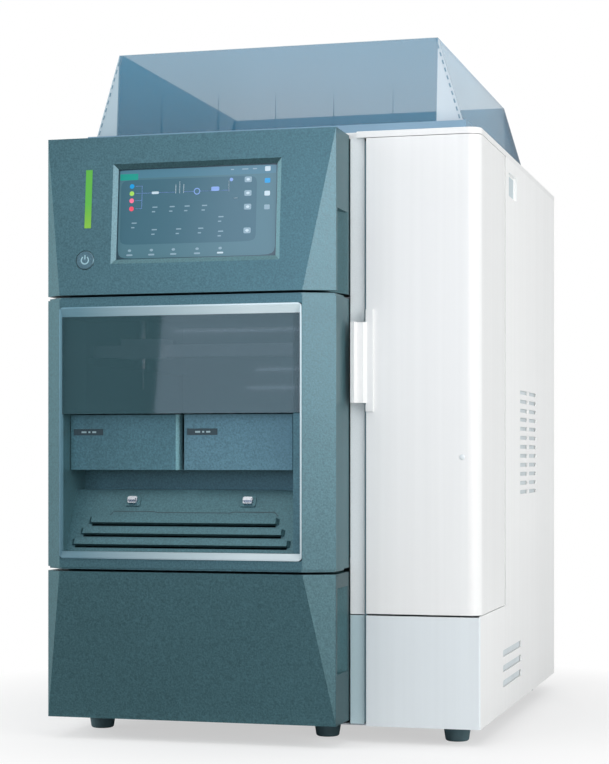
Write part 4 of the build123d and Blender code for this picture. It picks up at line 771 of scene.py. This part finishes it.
def sign(x, y, w, h, tone, power=BAR, turn=0.0, layer=1):
    """Note one sign.

    x and y run from 0 to 1 across and down the screen, and w and h are in
    millimetres.
    """
    signs.append(((x - 0.5) * width, (0.5 - y) * height, w / 1000, h / 1000, power, turn))
    tones.append(tone)
    layers.append(layer)


def line(x0, y0, x1, y1, tone, thick=0.6):
    """Note a straight bar between two places of the screen."""
    dx, dy = (x1 - x0) * width, (y0 - y1) * height
    length = math.hypot(dx, dy) * 1000 + thick
    sign((x0 + x1) / 2, (y0 + y1) / 2, length, thick, tone, turn=math.atan2(dy, dx))


print("screen", round(width * 1000), "by", round(height * 1000), "mm for the signs")

# %% Tones of the screen
SCREEN_BLUE = linear(60, 96, 110)
SCREEN_EDGE = linear(72, 108, 120)
HEADER = linear(72, 114, 132)
TAB = linear(34, 140, 128)
INK = linear(178, 196, 206)
FAINT = linear(126, 152, 166)
FLOW_BLUE = linear(120, 150, 205)
BOTTLES = (linear(30, 140, 200), linear(150, 200, 90), linear(230, 110, 140), linear(220, 80, 100))

print(len(BOTTLES), "tones for the bottles")

# %% [markdown]
# ### What the screen shows
# The layers go from the ground up: the display's edge, the blue field, the
# header with its tab, then the flow lines with the bottles, pump, mixer and
# detector on them. Bars stand for labels, and rounded squares for icons.

# %% Ground and flow scheme
sign(0.5, 0.5, 1000 * width - 1.0, 1000 * height - 1.0, SCREEN_EDGE, layer=0)
sign(0.445, 0.48, 0.86 * 1000 * width, 0.72 * 1000 * height, SCREEN_BLUE, layer=1)
sign(0.5, 0.055, 1000 * width - 1.6, 8.0, HEADER, layer=1)
sign(0.065, 0.085, 18.0, 6.0, TAB, layer=2)
bottle_ys = (0.19, 0.27, 0.35, 0.44)
for bottle_y, tone in zip(bottle_ys, BOTTLES):
    sign(0.085, bottle_y, 4.6, 4.6, tone, ROUND, layer=3)
    line(0.11, bottle_y, 0.15, bottle_y, FLOW_BLUE)
line(0.15, bottle_ys[0], 0.15, bottle_ys[-1], FLOW_BLUE)
line(0.15, 0.27, 0.36, 0.27, FLOW_BLUE)
sign(0.235, 0.27, 7.0, 2.4, INK, SQUARED, layer=3)
for bar_x, bar_top in ((0.365, 0.19), (0.39, 0.16), (0.415, 0.19)):
    line(bar_x, bar_top, bar_x, 0.28, INK, 0.9)
line(0.415, 0.27, 0.60, 0.27, FLOW_BLUE)
sign(0.50, 0.27, 6.4, 6.4, FLOW_BLUE, ROUND, layer=2)
sign(0.50, 0.27, 4.6, 4.6, SCREEN_BLUE, ROUND, layer=3)
sign(0.615, 0.25, 8.0, 4.2, FLOW_BLUE, SQUARED, layer=2)
line(0.65, 0.27, 0.70, 0.27, FLOW_BLUE)
line(0.70, 0.17, 0.70, 0.28, INK, 0.8)
sign(0.715, 0.155, 3.4, 3.4, FLOW_BLUE, ROUND, layer=3)
print(len(signs), "signs in the flow scheme")

# %% Labels and icons
label_places = (
    (0.235, 0.43), (0.345, 0.43), (0.44, 0.43), (0.55, 0.43),
    (0.105, 0.60), (0.235, 0.68), (0.39, 0.68), (0.53, 0.68), (0.655, 0.56), (0.655, 0.72),
)
for label_x, label_y in label_places:
    sign(label_x, label_y, 5.0, 1.1, FAINT, layer=2)
    sign(label_x - 0.008, label_y + 0.05, 3.2, 1.1, FAINT, layer=2)
line(0.735, 0.36, 0.755, 0.36, INK, 0.8)

for icon_y in (0.16, 0.31, 0.46, 0.72):
    sign(0.82, icon_y, 7.0, 5.4, FAINT, SQUARED, layer=2)
    sign(0.82, icon_y, 3.4, 2.4, INK, ROUND, layer=3)
right_icons = ((0.05, INK), (0.18, BOTTLES[0]), (0.32, INK), (0.47, FAINT))
for icon_y, tone in right_icons:
    sign(0.94, icon_y, 5.4, 4.6, tone, SQUARED, layer=2)
for icon_x in (0.08, 0.22, 0.36, 0.51, 0.655):
    sign(icon_x, 0.905, 3.4, 2.4, FAINT, ROUND, layer=2)
    sign(icon_x, 0.955, 6.0, 1.6, INK if icon_x > 0.6 else FAINT, SQUARED, layer=2)
for word_x, word_width in ((0.72, 3.0), (0.80, 6.0), (0.86, 4.0)):
    sign(word_x, 0.045, word_width, 1.0, FAINT, layer=2)
print(len(signs), "signs with labels and icons")

# %% [markdown]
# ### From notes to a mesh
# All signs make one mesh, so one material must show many tones. Each face
# corner stores its sign's tone in a colour attribute, and the shader reads it.

# %% Build the screen picture
SIGN_LIFT = 0.00004


def screen_finish():
    """Glowing paint whose colour is stored on the sign's corners."""
    made = Finish("screen_glow", WHITE, roughness=0.15)
    stored = made.tree.nodes.new("ShaderNodeVertexColor")
    stored.layer_name = "tone"
    made.tree.links.new(stored.outputs["Color"], made.shader.inputs["Base Color"])
    made.tree.links.new(stored.outputs["Color"], made.shader.inputs["Emission Color"])
    made.set("Emission Strength", 0.3)
    return made


outlines = sign_outlines(signs)
lifts = SIGN_LIFT * (1 + np.array(layers))[:, None]
count = len(signs)
sign_faces = np.arange(count * SIGN_POINTS).reshape(count, SIGN_POINTS).tolist()
screen_picture = piece(
    "screen_picture",
    on_face(screen, outlines, np.broadcast_to(lifts, outlines.shape[:2])),
    sign_faces,
    screen_finish(),
    "upper_door",
)
tone_layer = screen_picture.data.color_attributes.new("tone", "FLOAT_COLOR", "CORNER")
tone_layer.data.foreach_set("color", np.repeat(np.array(tones), SIGN_POINTS, axis=0).ravel())
print(count, "signs on the screen")

# %% [markdown]
# ## Marks and seams
# The power sign, the label slots, a seam under the latches and the stitches
# along the guard's corners are thin lines on a face. Grooves in the solids
# would cost many faces, so each line is a ribbon: a path in flat coordinates,
# widened by half its width to each side of its own direction.

# %% Ribbons
def ribbon(path, wide):
    """Points and faces of a band along a path: p + n w/2, then p - n w/2.

    The direction at each point is the difference of its neighbours, and n is
    that direction turned by a quarter.
    """
    path = np.asarray(path, float)
    along = np.gradient(path, axis=0)
    along /= np.linalg.norm(along, axis=1)[:, None]
    across = np.column_stack([-along[:, 1], along[:, 0]]) * wide / 2
    count = len(path)
    step = np.arange(count - 1)
    faces = np.column_stack([step, count + step, count + step + 1, step + 1])
    return np.concatenate([path + across, path - across]), faces


def ribbons(name, face, paths, wide, lift, finish, body):
    """One piece that holds a ribbon for each path on a face."""
    bands = [ribbon(path, wide) for path in paths]
    starts = np.cumsum([0] + [len(flat) for flat, quads in bands])
    points = np.concatenate([flat for flat, quads in bands])
    faces = np.concatenate([quads + start for (flat, quads), start in zip(bands, starts)])
    return piece(name, on_face(face, points, lift), faces.tolist(), finish, body)


MARK_LIFT, TOP_LIFT = 0.0001, 0.0002
mark_dark = moulded("mark_dark", linear(44, 70, 78), 0.5)
mark_light = moulded("mark_light", linear(160, 190, 198), 0.5)
print("ribbons and two mark paints")

# %% [markdown]
# ### Power sign
# The sign on the button is an open ring with a bar in its gap, printed on the
# button's cap. The largest plane of the button is its hidden flange, so the
# face is moved out to the foremost corner.

# %% Power sign
RING_RADIUS, RING_LINE = 0.0036, 0.0012
RING_POINTS = 30

sign_paint = moulded("sign_paint", linear(150, 190, 200), 0.4)
turn = np.radians(np.linspace(125, 415, RING_POINTS))
power_ring = RING_RADIUS * np.column_stack([np.cos(turn), np.sin(turn)])
power_bar = [(0.0, 0.0008), (0.0, 0.0048)]
button_face = foremost("power_button", flat_face("power_button", FRONT))
ribbons(
    "power_sign",
    button_face,
    [power_ring, power_bar],
    RING_LINE,
    MARK_LIFT,
    sign_paint,
    "power_button",
)
print("power sign", 2 * RING_RADIUS * 1000, "mm across")

# %% [markdown]
# ### Drawer labels
# Each drawer front has a small dark label slot with a few dashes in it, where
# a real one has a name. They ride on the drawers and slide out with them.

# %% Drawer labels
LABEL_FLOOR = -0.261
LABEL_HALF, LABEL_TALL, DASH_TALL = 0.015, 0.0060, 0.0016
DASHES = ((-0.007, -0.002), (0.0, 0.002), (0.004, 0.008))

for side, label_x in (("left", -0.168), ("right", -0.0535)):
    slot_face = upright((label_x, LABEL_FLOOR, 0.293))
    drawer = f"{side}_drawer"
    back = [[(-LABEL_HALF, 0.0), (LABEL_HALF, 0.0)]]
    ribbons(f"{side}_label_back", slot_face, back, LABEL_TALL, MARK_LIFT, mark_dark, drawer)
    dashes = [[(from_x, 0.0), (to_x, 0.0)] for from_x, to_x in DASHES]
    marks = f"{side}_label_marks"
    ribbons(marks, slot_face, dashes, DASH_TALL, TOP_LIFT, mark_light, drawer)
print("two drawer labels")

# %% [markdown]
# ### Seam on the slope
# A fine seam crosses the sloped panel by the latches. It dips a little between
# them and turns down at its ends. Its path is a few corners in the slope's own
# plane.

# %% Seam on the slope
SEAM_RISE, SEAM_WIDE = 0.0093, 0.0009
SEAM = (
    (-0.147, -0.004), (-0.144, 0.0), (-0.105, 0.0), (-0.100, -0.001),
    (-0.028, -0.001), (-0.023, 0.0), (0.016, 0.0), (0.020, -0.004),
)

slope = flat_face("louvre_panel", (0.0, -0.894, 0.447))
seam_path = np.array(SEAM) + (-slope["centre"][0], SEAM_RISE)
ribbons("slope_seam", slope, [seam_path], SEAM_WIDE, MARK_LIFT, mark_dark, "cabinet")
print("seam", round(SEAM[-1][0] - SEAM[0][0], 3), "m wide")

# %% [markdown]
# ### Stitches on the guard
# The guard's front is folded into a slanted gusset at each side, and a row of
# short marks runs down each fold's outer edge. The gusset's plane comes from
# three of its corners, and the marks are short shares of its outer edge.

# %% Stitches on the guard
GUARD_FRONT, GUARD_LOW_FRONT = -0.198, -0.206
GUSSET_WIDE = 0.026
STITCHES = 11
STITCH_HALF_SHARE = 0.022
STITCH_INSET, STITCH_WIDE = 0.0022, 0.0013

stitch_paint = moulded("stitch_paint", linear(92, 128, 148), 0.5)
for side, name in ((-1, "left"), (1, "right")):
    apex = np.array((side * GUARD_EDGE, GUARD_FRONT, GUARD_TOP))
    outer = np.array((side * (GUARD_EDGE + GUSSET_WIDE), GUARD_FRONT, GUARD_FOOT))
    inner = np.array((side * GUARD_EDGE, GUARD_LOW_FRONT, GUARD_FOOT))
    out = np.cross(outer - apex, inner - apex)
    out *= -np.sign(out[1])
    gusset = upright((apex + outer) / 2, out)
    ends = np.array([apex, outer]) - gusset["centre"]
    flat_ends = np.column_stack([ends @ gusset["right"], ends @ gusset["up"]])
    middles = np.linspace(0.1, 0.95, STITCHES)[:, None, None]
    shares = middles + np.array([-STITCH_HALF_SHARE, STITCH_HALF_SHARE])[None, :, None]
    stitches = flat_ends[0] + shares * (flat_ends[1] - flat_ends[0]) - (side * STITCH_INSET, 0.0)
    row = f"{name}_stitches"
    ribbons(row, gusset, stitches, STITCH_WIDE, TOP_LIFT, stitch_paint, "cabinet")
print(STITCHES, "stitches a side")

# %% [markdown]
# ## Lips round the sampler moulding
# A low lip runs round the sampler moulding above and below, so the gaps to the
# doors look shallow. It could be drawn by hand, but it has to follow the
# moulding's rounded corners. So it is the moulding's own convex outline at that
# height, drawn in a little and made a prism.

# %% Outline of a solid and a prism over it
SAME_HEIGHT = 0.0002
DIRECTIONS = 7200


def outline_at(node, height):
    """Convex outline, seen from above, of a node's corners at one height.

    In each of many directions d round the circle, the corner p with the
    largest p . d is on the outline, and they follow each other as d turns.
    """
    corners = corners_of(node)
    level = np.abs(corners[:, 2] - height) < SAME_HEIGHT
    flat = np.unique(np.round(corners[level][:, :2], 5), axis=0)
    angle = np.linspace(0, 2 * np.pi, DIRECTIONS, endpoint=False)
    furthest = (flat @ np.stack([np.cos(angle), np.sin(angle)])).argmax(axis=0)
    return flat[furthest[furthest != np.roll(furthest, 1)]]


def prism(name, rim, low, high, finish, body):
    """Upright prism over a convex outline."""
    count = len(rim)
    here = np.arange(count)
    after = np.roll(here, -1)
    points = np.concatenate([np.column_stack([rim, np.full(count, z)]) for z in (low, high)])
    sides = np.column_stack([here, after, count + after, count + here])
    caps = [here[::-1].tolist(), (count + here).tolist()]
    return piece(name, points, sides.tolist() + caps, finish, body)


print(len(outline_at("sampler_fascia", 0.165)), "corners round the moulding's foot")

# %% Lips
LIP_INSET, LIP_HEIGHT, LIP_BACK = 0.0015, 0.0018, -0.236
EDGES = (("upper", 0.4185, 1), ("lower", 0.165, -1))

for name, edge, away in EDGES:
    rim = outline_at("sampler_fascia", edge)
    rim_middle = (rim.min(0) + rim.max(0)) / 2
    shrink = 1 - 2 * LIP_INSET / (rim.max(0) - rim.min(0))
    rim = rim_middle + (rim - rim_middle) * shrink
    rim = rim[rim[:, 1] < LIP_BACK]
    rim = np.concatenate([rim, [(rim[:, 0].max(), LIP_BACK), (rim[:, 0].min(), LIP_BACK)]])
    turned = np.arctan2(rim[:, 1] - rim[:, 1].mean(), rim[:, 0] - rim[:, 0].mean())
    rim = rim[np.argsort(turned)]
    low, high = sorted((edge, edge + away * LIP_HEIGHT))
    prism(f"{name}_lip", rim, low, high, finishes["dark_panel"], "cabinet")
print("lips", LIP_HEIGHT * 1000, "mm high")

# %% [markdown]
# ## Screws
# The rear panel is held by pan-head screws. Each head is a half ellipsoid,
# whose height is h sqrt(1 - (r/R)^2) at radius r: a tip, then rings that get
# closer towards the rim, where the curve is steep.

# %% Low domes
RINGS = 4
AROUND = 16


def domes(name, places, out, radius, height, finish, body):
    """Low domes at many places, all looking along out: z = h sqrt(1 - (r/R)^2)."""
    share = np.sin(np.linspace(0, np.pi / 2, RINGS + 1))[1:]
    turn = np.arange(AROUND) * 2 * np.pi / AROUND
    ring_x = radius * share[:, None] * np.cos(turn)
    ring_y = radius * share[:, None] * np.sin(turn)
    lift = np.broadcast_to(height * np.sqrt(1 - share**2)[:, None], ring_x.shape)
    flat = np.concatenate([[(0.0, 0.0)], np.column_stack([ring_x.ravel(), ring_y.ravel()])])
    lifts = np.concatenate([[height], lift.ravel()])
    here = np.arange(AROUND)
    after = np.roll(here, -1)
    tip = np.column_stack([np.zeros(AROUND, int), 1 + here, 1 + after])
    start = 1 + AROUND * np.arange(RINGS - 1)[:, None]
    corners = [start + here, start + AROUND + here, start + AROUND + after, start + after]
    bands = np.stack(corners, axis=-1).reshape(-1, 4)
    first = len(flat) * np.arange(len(places))[:, None, None]
    faces = (first + tip).reshape(-1, 3).tolist() + (first + bands).reshape(-1, 4).tolist()
    points = [on_face(upright(place, out), flat, lifts) for place in places]
    return piece(name, np.concatenate(points), faces, finish, body)


print(RINGS, "rings a dome")

# %% Screws of the rear panel
REAR = (0.0, 1.0, 0.0)
SCREW_X = (-0.197, 0.197)
SCREW_Z = (0.03, 0.16, 0.29, 0.42, 0.556)
REAR_FACE = 0.278
HEAD_RADIUS, HEAD_HEIGHT = 0.0032, 0.0014

steel = finishes["machined_steel"]
rear_places = [(x, REAR_FACE, z) for x in SCREW_X for z in SCREW_Z]
domes("rear_screws", rear_places, REAR, HEAD_RADIUS, HEAD_HEIGHT, steel, "cabinet")
print(len(rear_places), "screws")

# %% [markdown]
# ## Seal and mats
# A soft seal fills the upright gap between the dark front and the white side;
# its pale teal is painted light, where the deep gap would be in shade.
# Pale filter mats lie behind the side slots, where one would otherwise look
# into the dark, and a small pad lines the recess high on the right. All are
# flat, so one wide ribbon each will do.

# %% Seal
SEAL_HALF, SEAL_TALL = 0.0011, 0.548
SEAL_MIDDLE = (0.0952, -0.2192, 0.293)

# Painted light: the seal's pale teal stands in for light in the gap, which would otherwise be in shade.
painted_light_seal_paint = moulded("gap_seal_painted_light", linear(104, 142, 152), 0.6)
seal_run = [[(-SEAL_HALF, 0.0), (SEAL_HALF, 0.0)]]
ribbons("gap_seal_painted_light", upright(SEAL_MIDDLE), seal_run, SEAL_TALL, 0.0, painted_light_seal_paint, "cabinet")
print("seal", SEAL_TALL, "m tall")

# %% Mats and pad: middle, width, height and finish
mat_paint = moulded("filter_mat", linear(206, 214, 217), 0.8, grain=1400.0, depth=0.0003)
pad_paint = moulded("recess_pad", linear(196, 209, 213), 0.5)
mats = {
    "right_low_mat": ((0.2030, -0.034, 0.0600), 0.132, 0.044, mat_paint),
    "right_vent_mat": ((0.2030, 0.0745, 0.2850), 0.132, 0.126, mat_paint),
    "left_low_mat": ((-0.2030, -0.034, 0.0600), 0.132, 0.044, mat_paint),
    "left_vent_mat": ((-0.2030, 0.0745, 0.2850), 0.132, 0.126, mat_paint),
    "recess_pad": ((0.2021, -0.032, 0.5450), 0.046, 0.020, pad_paint),
}
for name, (place, wide, tall, finish) in mats.items():
    band = [[(-wide / 2, 0.0), (wide / 2, 0.0)]]
    face = upright(place, (np.sign(place[0]), 0.0, 0.0))
    ribbons(name, face, band, tall, 0.0, finish, "cabinet")
print(len(mats), "mats and pads")

# %% [markdown]
# ## Inlet blades and a plug
# Three steel blades stand in the mains inlet, as in any socket of that kind.
# Each is a bar whose four corners are carried from its hidden inner end to its
# tip. A tiny domed plug closes a hole low on the white door.

# %% Inlet blades
INLET_MIDDLE = (0.135, 0.064)
BLADE_ENDS = (0.2632, 0.2740)
BLADE_HALF = (0.001, 0.002)
BLADES = ((-0.007, -0.003), (0.0, 0.004), (0.007, -0.003))
BLADE_FACES = ((0, 1, 5, 4), (1, 2, 6, 5), (2, 3, 7, 6), (3, 0, 4, 7), (4, 5, 6, 7))

for number, offset in enumerate(BLADES):
    corners = np.array([(-1, -1), (-1, 1), (1, 1), (1, -1)]) * BLADE_HALF
    x, z = (corners + np.add(INLET_MIDDLE, offset)).T
    points = np.concatenate([np.column_stack([x, np.full(4, y), z]) for y in BLADE_ENDS])
    piece(f"inlet_blade_{number}", points, BLADE_FACES, steel, "cabinet")
print(len(BLADES), "blades")

# %% Door plug
PLUG_PLACE = (0.188, -0.224, 0.269)
PLUG_RADIUS, PLUG_HEIGHT = 0.0026, 0.0008

plug_finish = own_finishes["lower_right_panel"]
domes("door_plug", [PLUG_PLACE], FRONT, PLUG_RADIUS, PLUG_HEIGHT, plug_finish, "oven_door")
print("door plug", 2 * PLUG_RADIUS * 1000, "mm across")
